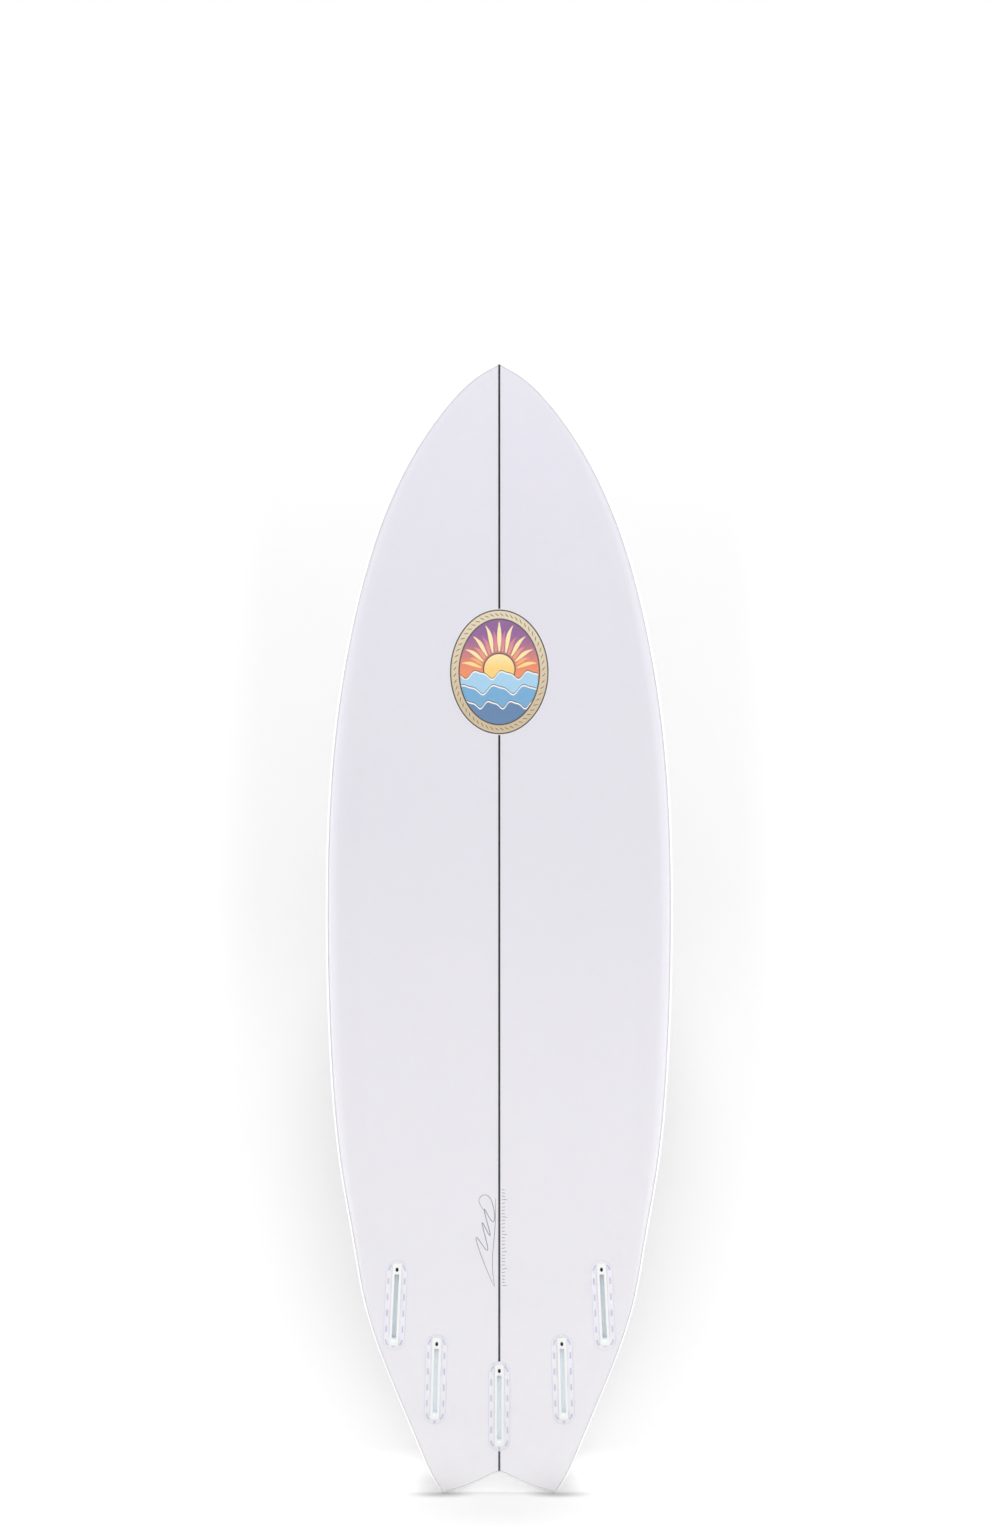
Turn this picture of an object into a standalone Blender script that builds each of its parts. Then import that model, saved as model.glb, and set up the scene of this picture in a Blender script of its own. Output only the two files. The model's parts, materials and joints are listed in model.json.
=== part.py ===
"""A five-fin swallow-tail shortboard: foam halves, stringer, glass shells, fin boxes with their
clamp screws, leash plug and a decal laminate.

The board stands on its two tail tips: +Z runs to the nose, the bottom faces -Y and the deck +Y.
Left is -X and right is +X, as seen when facing the bottom. All lengths are in metres.
"""

import math

import bmesh
import bpy
import numpy as np
from mathutils import Matrix, Vector

# ---------------------------------------------------------------- driving dimensions

LENGTH = 1.727
HALF_WIDTH = 0.2635
SWALLOW_DEPTH = 0.0308
TAIL_TIP_X = 0.0875

# Template of the outer edge: height from the tail tips and half width.
NOSE_TEMPLATE = (
    (0.0, LENGTH), (0.0137, 1.7190), (0.0330, 1.7070), (0.0607, 1.6830), (0.0810, 1.6600),
    (0.1198, 1.6060), (0.1797, 1.4840), (0.2296, 1.3010), (0.2553, 1.1180), (HALF_WIDTH, 0.9050),
    (0.2590, 0.6910), (0.2438, 0.5080), (0.2232, 0.3860), (0.2064, 0.2940), (0.1866, 0.2280),
)
HIP_TEMPLATE = (
    (0.1866, 0.2280), (0.1700, 0.1850), (0.1475, 0.1300), (0.1250, 0.0750), (0.1004, 0.0200),
    (TAIL_TIP_X, 0.0),
)
# The swallow's edge, from a tail tip to the middle.
NOTCH_TEMPLATE = (
    (TAIL_TIP_X, 0.0), (0.0700, 0.0036), (0.0580, 0.0070), (0.0458, 0.0114), (0.0214, 0.0222),
    (0.0060, 0.0293), (0.0, SWALLOW_DEPTH),
)
# Thickness down the middle, by height from the tail tips.
THICKNESS = (
    (0.0, 0.0130), (0.030, 0.0215), (0.100, 0.0325), (0.300, 0.0490), (0.600, 0.0625),
    (0.880, 0.0660), (1.150, 0.0620), (1.420, 0.0435), (1.640, 0.0200), (1.727, 0.0080),
)
NOSE_ROCKER, TAIL_ROCKER, FLAT_SPOT = 0.122, 0.056, 0.800
CROWN = 0.24
CONCAVE = 0.0028
NOSE_SPINE, TAIL_SPINE = LENGTH - 0.015, 0.110  # ends of the middle line that the sections start on
PRONG_SPINE = (0.0750, 0.0165)
PRONG_START = 0.190

GLASS = 0.0008
GAP = 0.0003
SEAM = 0.0004
STRINGER_HALF = 0.0016

# Fin boxes: middle of the box in plan, and how far its nose end leans towards the stringer.
BOX_PLACES = (
    ("front_left", -0.1578, 0.2885, 2.70, 0.0190),
    ("front_right", 0.1578, 0.2885, -2.70, 0.0190),
    ("rear_left", -0.0966, 0.1748, 1.55, 0.0127),
    ("rear_right", 0.0966, 0.1748, -1.55, 0.0127),
    ("centre", 0.0, 0.1335, 0.0, 0.0127),
)
BODY_HALF_WIDTH, BODY_TAIL, BODY_NOSE, BODY_CORNER = 0.0070, -0.0620, 0.0645, 0.0030
FLANGE_HALF_WIDTH, FLANGE_HALF_LENGTH, FLANGE_TOP, FLANGE_THICK = 0.0165, 0.0690, -0.0016, 0.0016
SLOT_HALF_WIDTH, SLOT_TAIL, SLOT_NOSE, SLOT_FLOOR = 0.0034, -0.0515, 0.0475, 0.0025
PERF_PITCH, PERF_X, PERF_HALF_LENGTH, PERF_HALF_WIDTH = 0.0246, 0.0125, 0.0051, 0.0012
BOX_INSET = 0.00015
SCREW_ENTRY, SCREW_ANGLE = 0.0548, math.radians(45)
BORE_RADIUS, SCREW_RADIUS, SCREW_HEAD, SCREW_TIP = 0.0023, 0.0020, 0.0026, 0.0079

# Leash plug
PLUG_X, PLUG_Z = 0.0340, 0.1250
CUP_RADIUS, CUP_INNER, CUP_DEPTH, CUP_FLOOR = 0.0140, 0.0100, 0.0170, 0.0040
PIN_RADIUS, PIN_DEPTH, PIN_HALF_LENGTH = 0.0016, 0.0037, 0.0130

# Decal laminate
DECAL_Z, DECAL_HALF_X, DECAL_HALF_Z = 1.2510, 0.0760, 0.0960
DECAL_TOP, DECAL_BACK = 0.00120, 0.00145

# ---------------------------------------------------------------- curves


def cubic_path(stations, count):
    """Points evenly spaced along the natural cubic curve through the stations."""
    p = np.array(stations, float)
    k = np.concatenate([[0], np.cumsum(np.linalg.norm(np.diff(p, axis=0), axis=1) ** 0.75)])
    n = len(k)
    h = np.diff(k)
    a = np.zeros((n, n))
    r = np.zeros((n, p.shape[1]))
    a[0, 0] = a[-1, -1] = 1
    for i in range(1, n - 1):
        a[i, i - 1], a[i, i], a[i, i + 1] = h[i - 1], 2 * (h[i - 1] + h[i]), h[i]
        r[i] = 6 * ((p[i + 1] - p[i]) / h[i] - (p[i] - p[i - 1]) / h[i - 1])
    m = np.linalg.solve(a, r)
    u = np.linspace(0, k[-1], 4001)
    j = np.clip(np.searchsorted(k, u, side="right") - 1, 0, n - 2)
    t, w = (u - k[j])[:, None], h[j][:, None]
    c = (
        m[j] * (w - t) ** 3 / (6 * w)
        + m[j + 1] * t**3 / (6 * w)
        + (p[j] / w - m[j] * w / 6) * (w - t)
        + (p[j + 1] / w - m[j + 1] * w / 6) * t
    )
    s = np.concatenate([[0], np.cumsum(np.linalg.norm(np.diff(c, axis=0), axis=1))])
    at = np.linspace(0, s[-1], count)
    return np.stack([np.interp(at, s, c[:, i]) for i in range(p.shape[1])], axis=1)


def smooth_step(t):
    t = min(1.0, max(0.0, t))
    return t * t * (3 - 2 * t)


OUTER = np.concatenate([cubic_path(NOSE_TEMPLATE, 1500), cubic_path(HIP_TEMPLATE, 400)[1:]])
NOTCH = cubic_path(NOTCH_TEMPLATE, 400)
THICK = cubic_path(THICKNESS, 1000)
OUTER_Z, OUTER_X = OUTER[::-1, 1], OUTER[::-1, 0]


def half_width(z):
    return float(np.interp(z, OUTER_Z, OUTER_X))


def thickness(z):
    return float(np.interp(z, THICK[:, 0], THICK[:, 1]))


def rocker(z):
    if z > FLAT_SPOT:
        return NOSE_ROCKER * ((z - FLAT_SPOT) / (LENGTH - FLAT_SPOT)) ** 2.4
    return TAIL_ROCKER * ((FLAT_SPOT - z) / FLAT_SPOT) ** 1.9


def bottom_y(x, z):
    """The bottom inboard of the rails: the rocker, with a shallow concave between the rails."""
    deep = CONCAVE * smooth_step((z - 0.02) / 0.30) * smooth_step((1.60 - z) / 0.55)
    q = min(1.0, abs(x) / max(0.88 * half_width(z), 1e-6))
    return rocker(z) + deep * (1 - q * q) ** 2


def deck_rise(x, z):
    """Height of the domed deck over the rocker line, inboard of the rails."""
    q = min(1.0, abs(x) / max(half_width(z), 1e-6))
    crown = CROWN * smooth_step((LENGTH - z) / 0.10)
    return thickness(z) * (1 - crown * q**2.2)


def rail_shape(edge, reach, notch):
    """(apex height, tuck radius, deck radius) of the rail at an edge point, for a section this long."""
    x, z = edge
    share = 0.30 + 0.12 * smooth_step((z - 0.05) / 0.45) + 0.06 * smooth_step((z - 1.35) / 0.35)
    apex = share * deck_rise(x, z)
    tuck = 0.0055 + 0.0165 * smooth_step((z - 0.15) / 0.55) - 0.0080 * smooth_step((z - 1.2) / 0.5)
    deck = max(0.0100, 0.31 * half_width(z))
    tuck = (1 - notch) * tuck + notch * 0.0050
    deck = (1 - notch) * deck + notch * 0.0110
    over = deck_rise(x, z) - apex
    return apex, min(tuck, 1.4 * apex, 0.85 * reach), min(deck, 2.8 * over, 0.90 * reach)


# ---------------------------------------------------------------- the board's surface


def edge_at(path, share):
    s = np.linspace(0, 1, len(path))
    return np.array([np.interp(share, s, path[:, 0]), np.interp(share, s, path[:, 1])])


def spread(a, b, count, pull):
    """Values from a to b, closer together towards a as pull grows."""
    return [a + (b - a) * (i / count) ** pull for i in range(count + 1)]


def board_rows(upper, prong):
    """(edge point, spine point, notch share) of each section, from the nose tip round to the swallow."""
    start = float(np.interp(-PRONG_START, -OUTER[:, 1], np.linspace(0, 1, len(OUTER))))
    rows = []
    for i, share in enumerate(spread(0.0, start, upper, 1.75)[:-1]):
        edge = edge_at(OUTER, share)
        down = (LENGTH - edge[1]) / (LENGTH - PRONG_START)
        rows.append((edge, np.array([0.0, NOSE_SPINE + (TAIL_SPINE - NOSE_SPINE) * down]), 0.0))
    rows[0][0][0] = 0.0
    foot, tip = np.array([0.0, TAIL_SPINE]), np.array(PRONG_SPINE)
    shares = spread(0.0, 1.0, prong, 0.92)
    for f in shares:
        rows.append((edge_at(OUTER, start + (1 - start) * f), foot + (tip - foot) * f, 0.4 * smooth_step((f - 0.7) / 0.3)))
    for f in shares[::-1][1:]:
        rows.append((edge_at(NOTCH, 1 - f), foot + (tip - foot) * f, 0.4 + 0.6 * smooth_step((1 - f) / 0.3)))
    rows[-1][0][0] = 0.0
    return rows


def section(row, flats, bottom_turns, deck_turns, seam=0.0):
    """Points of one section, bottom middle to the rail apex and rail apex to deck middle."""
    edge, spine, notch = row
    reach = float(np.linalg.norm(edge - spine))
    apex, tuck, deck = rail_shape(edge, reach, notch)

    def at(d):
        return edge + (spine - edge) * (d / reach)

    bottom, top = [], []
    for i in range(flats):
        x, z = at(reach + (tuck - reach) * i / flats)
        bottom.append((x, bottom_y(x, z), z))
    last = math.acos(min(0.5, seam / 2 / apex))
    for turn in [0.0, *bottom_turns, 1.0]:
        x, z = at(tuck * (1 - math.sin(turn * last)))
        share = 1 - math.cos(turn * last)
        bottom.append((x, bottom_y(x, z) * (1 - share) + rocker(z) * share + apex * share, z))
    over = deck_rise(*edge) - apex
    last = math.acos(min(0.5, seam / 2 / over))
    for turn in [1.0, *deck_turns[::-1], 0.0]:
        x, z = at(deck * (1 - math.sin(turn * last)))
        share = 1 - math.cos(turn * last)
        rise = deck_rise(x, z)
        top.append((x, rocker(z) + rise - (rise - apex) * share, z))
    for i in range(flats - 1, -1, -1):
        x, z = at(reach + (deck - reach) * i / flats)
        top.append((x, rocker(z) + deck_rise(x, z), z))
    return bottom, top


FLATS = 4
BOTTOM, EDGE, DECK = 0, 1, 2
BOTTOM_TURNS = [0.35, 0.66, 0.89]
DECK_TURNS = [0.29, 0.53, 0.75, 0.91, 0.975]
ROWS = board_rows(28, 6)
CENTRE_Y = -0.5 * (NOSE_ROCKER + thickness(LENGTH))


def sheet_mesh(bm, strips, part_of=None):
    """A surface through the strips, doubled across the middle plane and welded."""
    turn = len(BOTTOM_TURNS) + FLATS + 1
    for side in (1, -1):
        grid = [[bm.verts.new((side * x, y + CENTRE_Y, z)) for x, y, z in strip] for strip in strips]
        for a, b in zip(grid, grid[1:]):
            for j in range(len(a) - 1):
                quad = (a[j], b[j], b[j + 1], a[j + 1])
                face = bm.faces.new(quad if side > 0 else quad[::-1])
                if part_of is not None:
                    face[part_of] = BOTTOM if j < turn else EDGE if j == turn else DECK
    bmesh.ops.remove_doubles(bm, verts=bm.verts, dist=1e-6)


# ---------------------------------------------------------------- scene helpers

for old in list(bpy.data.objects):
    bpy.data.objects.remove(old, do_unlink=True)

board = bpy.data.collections.new("shortboard")
cutters = bpy.data.collections.new("cutters")
bpy.context.scene.collection.children.link(board)
bpy.context.scene.collection.children.link(cutters)
cutters.hide_render = True


def material(name, colour, roughness, metallic=0.0, alpha=1.0):
    made = bpy.data.materials.new(name)
    made.use_nodes = True
    shader = made.node_tree.nodes["Principled BSDF"]
    shader.inputs["Base Color"].default_value = (*colour, 1.0)
    shader.inputs["Roughness"].default_value = roughness
    shader.inputs["Metallic"].default_value = metallic
    shader.inputs["Alpha"].default_value = alpha
    made.diffuse_color = (*colour, 1.0)
    return made


def add(name, mesh, group, matrix=None, finish=None):
    made = bpy.data.objects.new(name, mesh)
    group.objects.link(made)
    if matrix is not None:
        made.matrix_world = matrix
    if finish is not None and not mesh.materials:
        mesh.materials.append(finish)
    if group is cutters:
        made.hide_render = True
        made.display_type = "WIRE"
    return made


def mesh_of(name, bm):
    bmesh.ops.recalc_face_normals(bm, faces=bm.faces)
    made = bpy.data.meshes.new(name)
    bm.to_mesh(made)
    bm.free()
    return made


def flat_solid(name, outline, low, high):
    """The mesh of a flat outline in the XY plane, extruded from low to high along Z."""
    curve = bpy.data.curves.new(name, "CURVE")
    curve.dimensions = "2D"
    curve.fill_mode = "BOTH"
    curve.extrude = (high - low) / 2
    spline = curve.splines.new("POLY")
    spline.points.add(len(outline) - 1)
    for point, (x, y) in zip(spline.points, outline):
        point.co = (x, y, 0, 1)
    spline.use_cyclic_u = True
    helper = bpy.data.objects.new(name, curve)
    cutters.objects.link(helper)
    bpy.context.view_layer.update()
    mesh = bpy.data.meshes.new_from_object(helper.evaluated_get(bpy.context.evaluated_depsgraph_get()))
    bpy.data.objects.remove(helper)
    bm = bmesh.new()
    bm.from_mesh(mesh)
    bmesh.ops.remove_doubles(bm, verts=bm.verts, dist=1e-6)
    bmesh.ops.translate(bm, verts=bm.verts, vec=(0, 0, (high + low) / 2))
    bmesh.ops.recalc_face_normals(bm, faces=bm.faces)
    bm.to_mesh(mesh)
    bm.free()
    return mesh


def round_rect(half_x, low_y, high_y, corner, steps):
    """Corner points of a rounded rectangle, anticlockwise."""
    points = []
    for x, y, start in (
        (half_x - corner, high_y - corner, 0.0),
        (corner - half_x, high_y - corner, 0.5),
        (corner - half_x, low_y + corner, 1.0),
        (half_x - corner, low_y + corner, 1.5),
    ):
        for i in range(steps + 1):
            a = math.pi * (start + 0.5 * i / steps)
            point = (x + corner * math.cos(a), y + corner * math.sin(a))
            if not points or math.dist(points[-1], point) > 1e-7:
                points.append(point)
    return points if math.dist(points[0], points[-1]) > 1e-7 else points[:-1]


def cylinder(name, radius, low, high, sides):
    """A cylinder along Z, from low to high."""
    bm = bmesh.new()
    bmesh.ops.create_cone(bm, cap_ends=True, segments=sides, radius1=radius, radius2=radius, depth=high - low)
    bmesh.ops.translate(bm, verts=bm.verts, vec=(0, 0, (high + low) / 2))
    return mesh_of(name, bm)


def block(name, low, high):
    bm = bmesh.new()
    bmesh.ops.create_cube(bm, size=1.0)
    for v in bm.verts:
        v.co = Vector([l + (h - l) * (c + 0.5) for l, h, c in zip(low, high, v.co)])
    return mesh_of(name, bm)


def turned(name, profile, steps, group):
    """A solid of revolution about Z from (radius, height) points down the outer side, top to bottom."""
    bm = bmesh.new()
    verts = [bm.verts.new((r, 0, z)) for r, z in profile]
    for a, b in zip(verts, verts[1:]):
        bm.edges.new((a, b))
    mesh = bpy.data.meshes.new(name)
    bm.to_mesh(mesh)
    bm.free()
    made = add(name, mesh, group)
    screw = made.modifiers.new("turn", "SCREW")
    screw.steps = screw.render_steps = steps
    screw.use_merge_vertices = True
    screw.merge_threshold = 0.00001
    return made


def cut(piece, cutter, operation="DIFFERENCE"):
    made = piece.modifiers.new(cutter.name, "BOOLEAN")
    made.operation = operation
    made.solver = "EXACT"
    made.object = cutter


def smooth(mesh, angle=30):
    mesh.shade_smooth()
    mesh.set_sharp_from_angle(angle=math.radians(angle))


white_foam = material("foam", (0.84, 0.82, 0.85), 0.75)
clear_glass = material("laminate", (0.86, 0.86, 0.90), 0.12, alpha=0.35)
deck_finish = material("deck_laminate", (0.86, 0.86, 0.90), 0.12, alpha=0.35)
dark_wood = material("stringer_wood", (0.045, 0.042, 0.040), 0.55)
box_plastic = material("fin_box_plastic", (0.87, 0.89, 0.89), 0.35)
screw_steel = material("screw_steel", (0.30, 0.30, 0.31), 0.35, metallic=1.0)
plug_plastic = material("plug_plastic", (0.85, 0.86, 0.87), 0.30)
pin_steel = material("pin_steel", (0.62, 0.62, 0.63), 0.25, metallic=1.0)
decal_paper = material("decal_paper", (0.75, 0.45, 0.18), 0.60)

# ---------------------------------------------------------------- glass shells


def board_surface(seam):
    """The board's whole outer surface. Each face is marked as bottom, edge (the seam) or deck."""
    bm = bmesh.new()
    part_of = bm.faces.layers.int.new("part")
    strips = []
    for row in ROWS:
        low, high = section(row, FLATS, BOTTOM_TURNS, DECK_TURNS, seam)
        strips.append(low + high)
    sheet_mesh(bm, strips, part_of)
    bmesh.ops.recalc_face_normals(bm, faces=bm.faces)
    bm.normal_update()
    return bm, part_of


def inner_point(vertex, depth):
    return vertex.co - vertex.normal * depth * vertex.calc_shell_factor()


def shell(name, part, finish):
    """One lamination: the outer surface, its copy moved in by the glass, and the edge between them."""
    bm, part_of = board_surface(SEAM)
    made = bmesh.new()
    outer, inner = {}, {}
    for face in bm.faces:
        if face[part_of] != part:
            continue
        for v in face.verts:
            if v not in outer:
                outer[v] = made.verts.new(v.co)
                inner[v] = made.verts.new(inner_point(v, GLASS))
        made.faces.new([outer[v] for v in face.verts])
        made.faces.new([inner[v] for v in reversed(face.verts)])
    for edge in bm.edges:
        if sum(face[part_of] == part for face in edge.link_faces) == 1:
            a, b = edge.verts
            made.faces.new((outer[a], outer[b], inner[b], inner[a]))
    bm.free()
    shell_object = add(name, mesh_of(name, made), board, finish=finish)
    smooth(shell_object.data, 40)
    return shell_object


bottom_glass = shell("bottom_glass", BOTTOM, clear_glass)
deck_glass = shell("deck_glass", DECK, deck_finish)

# ---------------------------------------------------------------- foam halves and stringer


def core_mesh(name):
    """The board's closed surface, moved in by the glass and a gap."""
    bm = bmesh.new()
    strips = []
    for row in ROWS:
        low, high = section(row, FLATS, BOTTOM_TURNS, DECK_TURNS[:-1])
        strips.append(low + high[1:])
    sheet_mesh(bm, strips)
    bmesh.ops.recalc_face_normals(bm, faces=bm.faces)
    bm.normal_update()
    for v, place in [(v, inner_point(v, GLASS + GAP)) for v in bm.verts]:
        v.co = place
    return mesh_of(name, bm)


def core_piece(name, low_x, high_x, finish):
    """The part of the core between two upright planes."""
    made = add(name, core_mesh(name), board, finish=finish)
    smooth(made.data, 40)
    for side, start, end in (("below", -0.5, low_x), ("above", high_x, 0.5)):
        if end - start > 0.01:
            trim = block("trim", (start, -0.3, -0.2), (end, 0.3, LENGTH + 0.2))
            cut(made, add(f"{name}_{side}", trim, cutters))
    return made


foam_left = core_piece("foam_left", -0.5, -STRINGER_HALF - GAP, white_foam)
foam_right = core_piece("foam_right", STRINGER_HALF + GAP, 0.5, white_foam)
stringer = core_piece("stringer", -STRINGER_HALF, STRINGER_HALF, dark_wood)

# ---------------------------------------------------------------- fin boxes and screws


def surface_frame(surface, x, z, lean=0.0):
    """Matrix at a surface point: X across the board, Y along it and leaned, Z straight out."""
    e = 0.004
    dx = (surface(x + e, z) - surface(x - e, z)) / (2 * e)
    dz = (surface(x, z + e) - surface(x, z - e)) / (2 * e)
    out = Vector((dx, -1.0, dz)).normalized()
    if surface is deck_y:
        out = -out
    lean = math.radians(lean)
    along = Vector((math.sin(lean), 0.0, math.cos(lean)))
    along = (along - out * along.dot(out)).normalized()
    across = along.cross(out)
    place = Matrix((across, along, out)).transposed().to_4x4()
    place.translation = Vector((x, surface(x, z) + CENTRE_Y, z))
    return place


def deck_y(x, z):
    return rocker(z) + deck_rise(x, z)


screw_axis = Matrix.Translation((0, SCREW_ENTRY, 0)) @ Matrix.Rotation(math.pi - SCREW_ANGLE, 4, "X")
# Local Z of the screw's own frame now points inwards and towards the tail.


def box_mesh(name, slot_depth):
    """The box's mesh, made by joining and cutting flat solids."""
    body = add(
        name + "_form",
        flat_solid(name, round_rect(BODY_HALF_WIDTH, BODY_TAIL, BODY_NOSE, BODY_CORNER, 3), -slot_depth - SLOT_FLOOR, 0.0),
        cutters,
    )
    tools = [("UNION", flat_solid(
        "flange",
        round_rect(FLANGE_HALF_WIDTH, -FLANGE_HALF_LENGTH, FLANGE_HALF_LENGTH, FLANGE_HALF_WIDTH, 6),
        FLANGE_TOP - FLANGE_THICK, FLANGE_TOP,
    ))]
    tools.append(("DIFFERENCE", block("slot", (-SLOT_HALF_WIDTH, SLOT_TAIL, -slot_depth), (SLOT_HALF_WIDTH, SLOT_NOSE, 0.01))))
    tools.append(("DIFFERENCE", block("release", (-0.0030, SLOT_TAIL - 0.0048, -0.0020), (0.0030, SLOT_TAIL - 0.0017, 0.01))))
    bore = cylinder("bore", BORE_RADIUS, -0.006, 0.0135, 16)
    bore.transform(screw_axis)
    tools.append(("DIFFERENCE", bore))
    for side in (-1, 1):
        for i in range(4):
            y = (i - 1.5) * PERF_PITCH
            tools.append(("DIFFERENCE", block(
                "perf",
                (side * PERF_X - PERF_HALF_WIDTH, y - PERF_HALF_LENGTH, FLANGE_TOP - FLANGE_THICK - 0.002),
                (side * PERF_X + PERF_HALF_WIDTH, y + PERF_HALF_LENGTH, FLANGE_TOP + 0.002),
            )))
    made = [add(name + "_tool", mesh, cutters) for _, mesh in tools]
    for tool, (operation, _) in zip(made, tools):
        cut(body, tool, operation)
    bpy.context.view_layer.update()
    mesh = bpy.data.meshes.new_from_object(body.evaluated_get(bpy.context.evaluated_depsgraph_get()))
    for helper in [body, *made]:
        bpy.data.objects.remove(helper)
    smooth(mesh)
    return mesh


def screw_mesh(name):
    """A set screw along Z with a hexagonal socket in its head."""
    form = add(name, cylinder(name, SCREW_RADIUS, SCREW_HEAD, SCREW_TIP, 16), cutters)
    chamfer = form.modifiers.new("chamfer", "BEVEL")
    chamfer.width = 0.0003
    chamfer.segments = 1
    chamfer.limit_method = "ANGLE"
    chamfer.angle_limit = math.radians(60)
    socket = add(name + "_socket", cylinder(name, 0.00125, SCREW_HEAD - 0.001, SCREW_HEAD + 0.0022, 6), cutters)
    cut(form, socket)
    bpy.context.view_layer.update()
    mesh = bpy.data.meshes.new_from_object(form.evaluated_get(bpy.context.evaluated_depsgraph_get()))
    for helper in (form, socket):
        bpy.data.objects.remove(helper)
    smooth(mesh)
    return mesh


box_meshes = {depth: box_mesh("fin_box", depth) for depth in sorted({place[4] for place in BOX_PLACES})}
screw_form = screw_mesh("fin_screw")

for name, x, z, lean, slot_depth in BOX_PLACES:
    place = surface_frame(bottom_y, x, z, lean)
    place = place @ Matrix.Translation((0, 0, -BOX_INSET))
    add("fin_box_" + name, box_meshes[slot_depth], board, place, box_plastic)
    add("fin_screw_" + name, screw_form, board, place @ screw_axis, screw_steel)
    body_cut = add(
        "body_cut_" + name,
        flat_solid(
            "body_cut",
            round_rect(BODY_HALF_WIDTH + GAP, BODY_TAIL - GAP, BODY_NOSE + GAP, BODY_CORNER + GAP, 3),
            -slot_depth - SLOT_FLOOR - GAP, 0.004,
        ),
        cutters, place,
    )
    flange_cut = add(
        "flange_cut_" + name,
        flat_solid(
            "flange_cut",
            round_rect(FLANGE_HALF_WIDTH + GAP, -FLANGE_HALF_LENGTH - GAP, FLANGE_HALF_LENGTH + GAP, FLANGE_HALF_WIDTH + GAP, 6),
            FLANGE_TOP - FLANGE_THICK - GAP, 0.004,
        ),
        cutters, place,
    )
    cut(bottom_glass, body_cut)
    for piece, touched in ((foam_left, x < 0.01), (foam_right, x > -0.01), (stringer, x == 0)):
        if touched:
            cut(piece, body_cut)
            cut(piece, flange_cut)

# ---------------------------------------------------------------- leash plug

plug_place = surface_frame(deck_y, PLUG_X, PLUG_Z)
cup = turned(
    "leash_plug_cup",
    [
        (0.0, CUP_FLOOR - CUP_DEPTH), (CUP_INNER - 0.0015, CUP_FLOOR - CUP_DEPTH),
        (CUP_INNER, CUP_FLOOR - CUP_DEPTH + 0.0015), (CUP_INNER, 0.0), (CUP_RADIUS - 0.0006, 0.0),
        (CUP_RADIUS, -0.0006), (CUP_RADIUS, 0.001 - CUP_DEPTH), (CUP_RADIUS - 0.001, -CUP_DEPTH),
        (0.0, -CUP_DEPTH),
    ],
    32, board,
)
cup.matrix_world = plug_place
cup.data.materials.append(plug_plastic)

pin_turn = Matrix.Translation((0, 0, -PIN_DEPTH)) @ Matrix.Rotation(math.pi / 2, 4, "Y")
pin = add("leash_plug_pin", cylinder("pin", PIN_RADIUS, -PIN_HALF_LENGTH, PIN_HALF_LENGTH, 14), board, plug_place @ pin_turn, pin_steel)
smooth(pin.data)
pin_seat = add(
    "pin_seat",
    cylinder("pin_seat", PIN_RADIUS + GAP, -PIN_HALF_LENGTH - GAP, PIN_HALF_LENGTH + GAP, 14),
    cutters, plug_place @ pin_turn,
)
cut(cup, pin_seat)

plug_cut = add("plug_cut", cylinder("plug_cut", CUP_RADIUS + GAP, -CUP_DEPTH - GAP, 0.006, 32), cutters, plug_place)
cut(foam_right, plug_cut)
cut(deck_glass, plug_cut)

# ---------------------------------------------------------------- decal laminate


def lens(name, top, back, grow, rings, spokes):
    """A thin oval that follows the bottom, between two depths below it."""
    bm = bmesh.new()
    layers = []
    for depth in (top, back):
        middle = bm.verts.new((0.0, bottom_y(0.0, DECAL_Z) + CENTRE_Y + depth, DECAL_Z))
        rounds = []
        for i in range(1, rings + 1):
            ring = []
            for k in range(spokes):
                a = 2 * math.pi * k / spokes
                x = (DECAL_HALF_X + grow) * i / rings * math.cos(a)
                z = DECAL_Z + (DECAL_HALF_Z + grow) * i / rings * math.sin(a)
                ring.append(bm.verts.new((x, bottom_y(x, z) + CENTRE_Y + depth, z)))
            rounds.append(ring)
        for k in range(spokes):
            bm.faces.new((middle, rounds[0][k], rounds[0][(k + 1) % spokes]))
            for a, b in zip(rounds, rounds[1:]):
                bm.faces.new((a[k], b[k], b[(k + 1) % spokes], a[(k + 1) % spokes]))
        layers.append(rounds[-1])
    for k in range(spokes):
        j = (k + 1) % spokes
        bm.faces.new((layers[0][k], layers[0][j], layers[1][j], layers[1][k]))
    return mesh_of(name, bm)


decal = add("decal_laminate", lens("decal_laminate", DECAL_TOP, DECAL_BACK, 0.0, 3, 28), board, finish=decal_paper)
smooth(decal.data)
decal_cut = add("decal_cut", lens("decal_cut", -0.006, DECAL_BACK + 0.00035, GAP, 2, 28), cutters)
for piece in (foam_left, foam_right, stringer):
    cut(piece, decal_cut)

bpy.context.view_layer.update()
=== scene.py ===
"""Looks for the five-fin swallow-tail shortboard: fine surfaces, materials, light and camera."""

import json
import math

import bmesh
import bpy
import numpy as np
from mathutils import Matrix, Vector, kdtree

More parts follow.
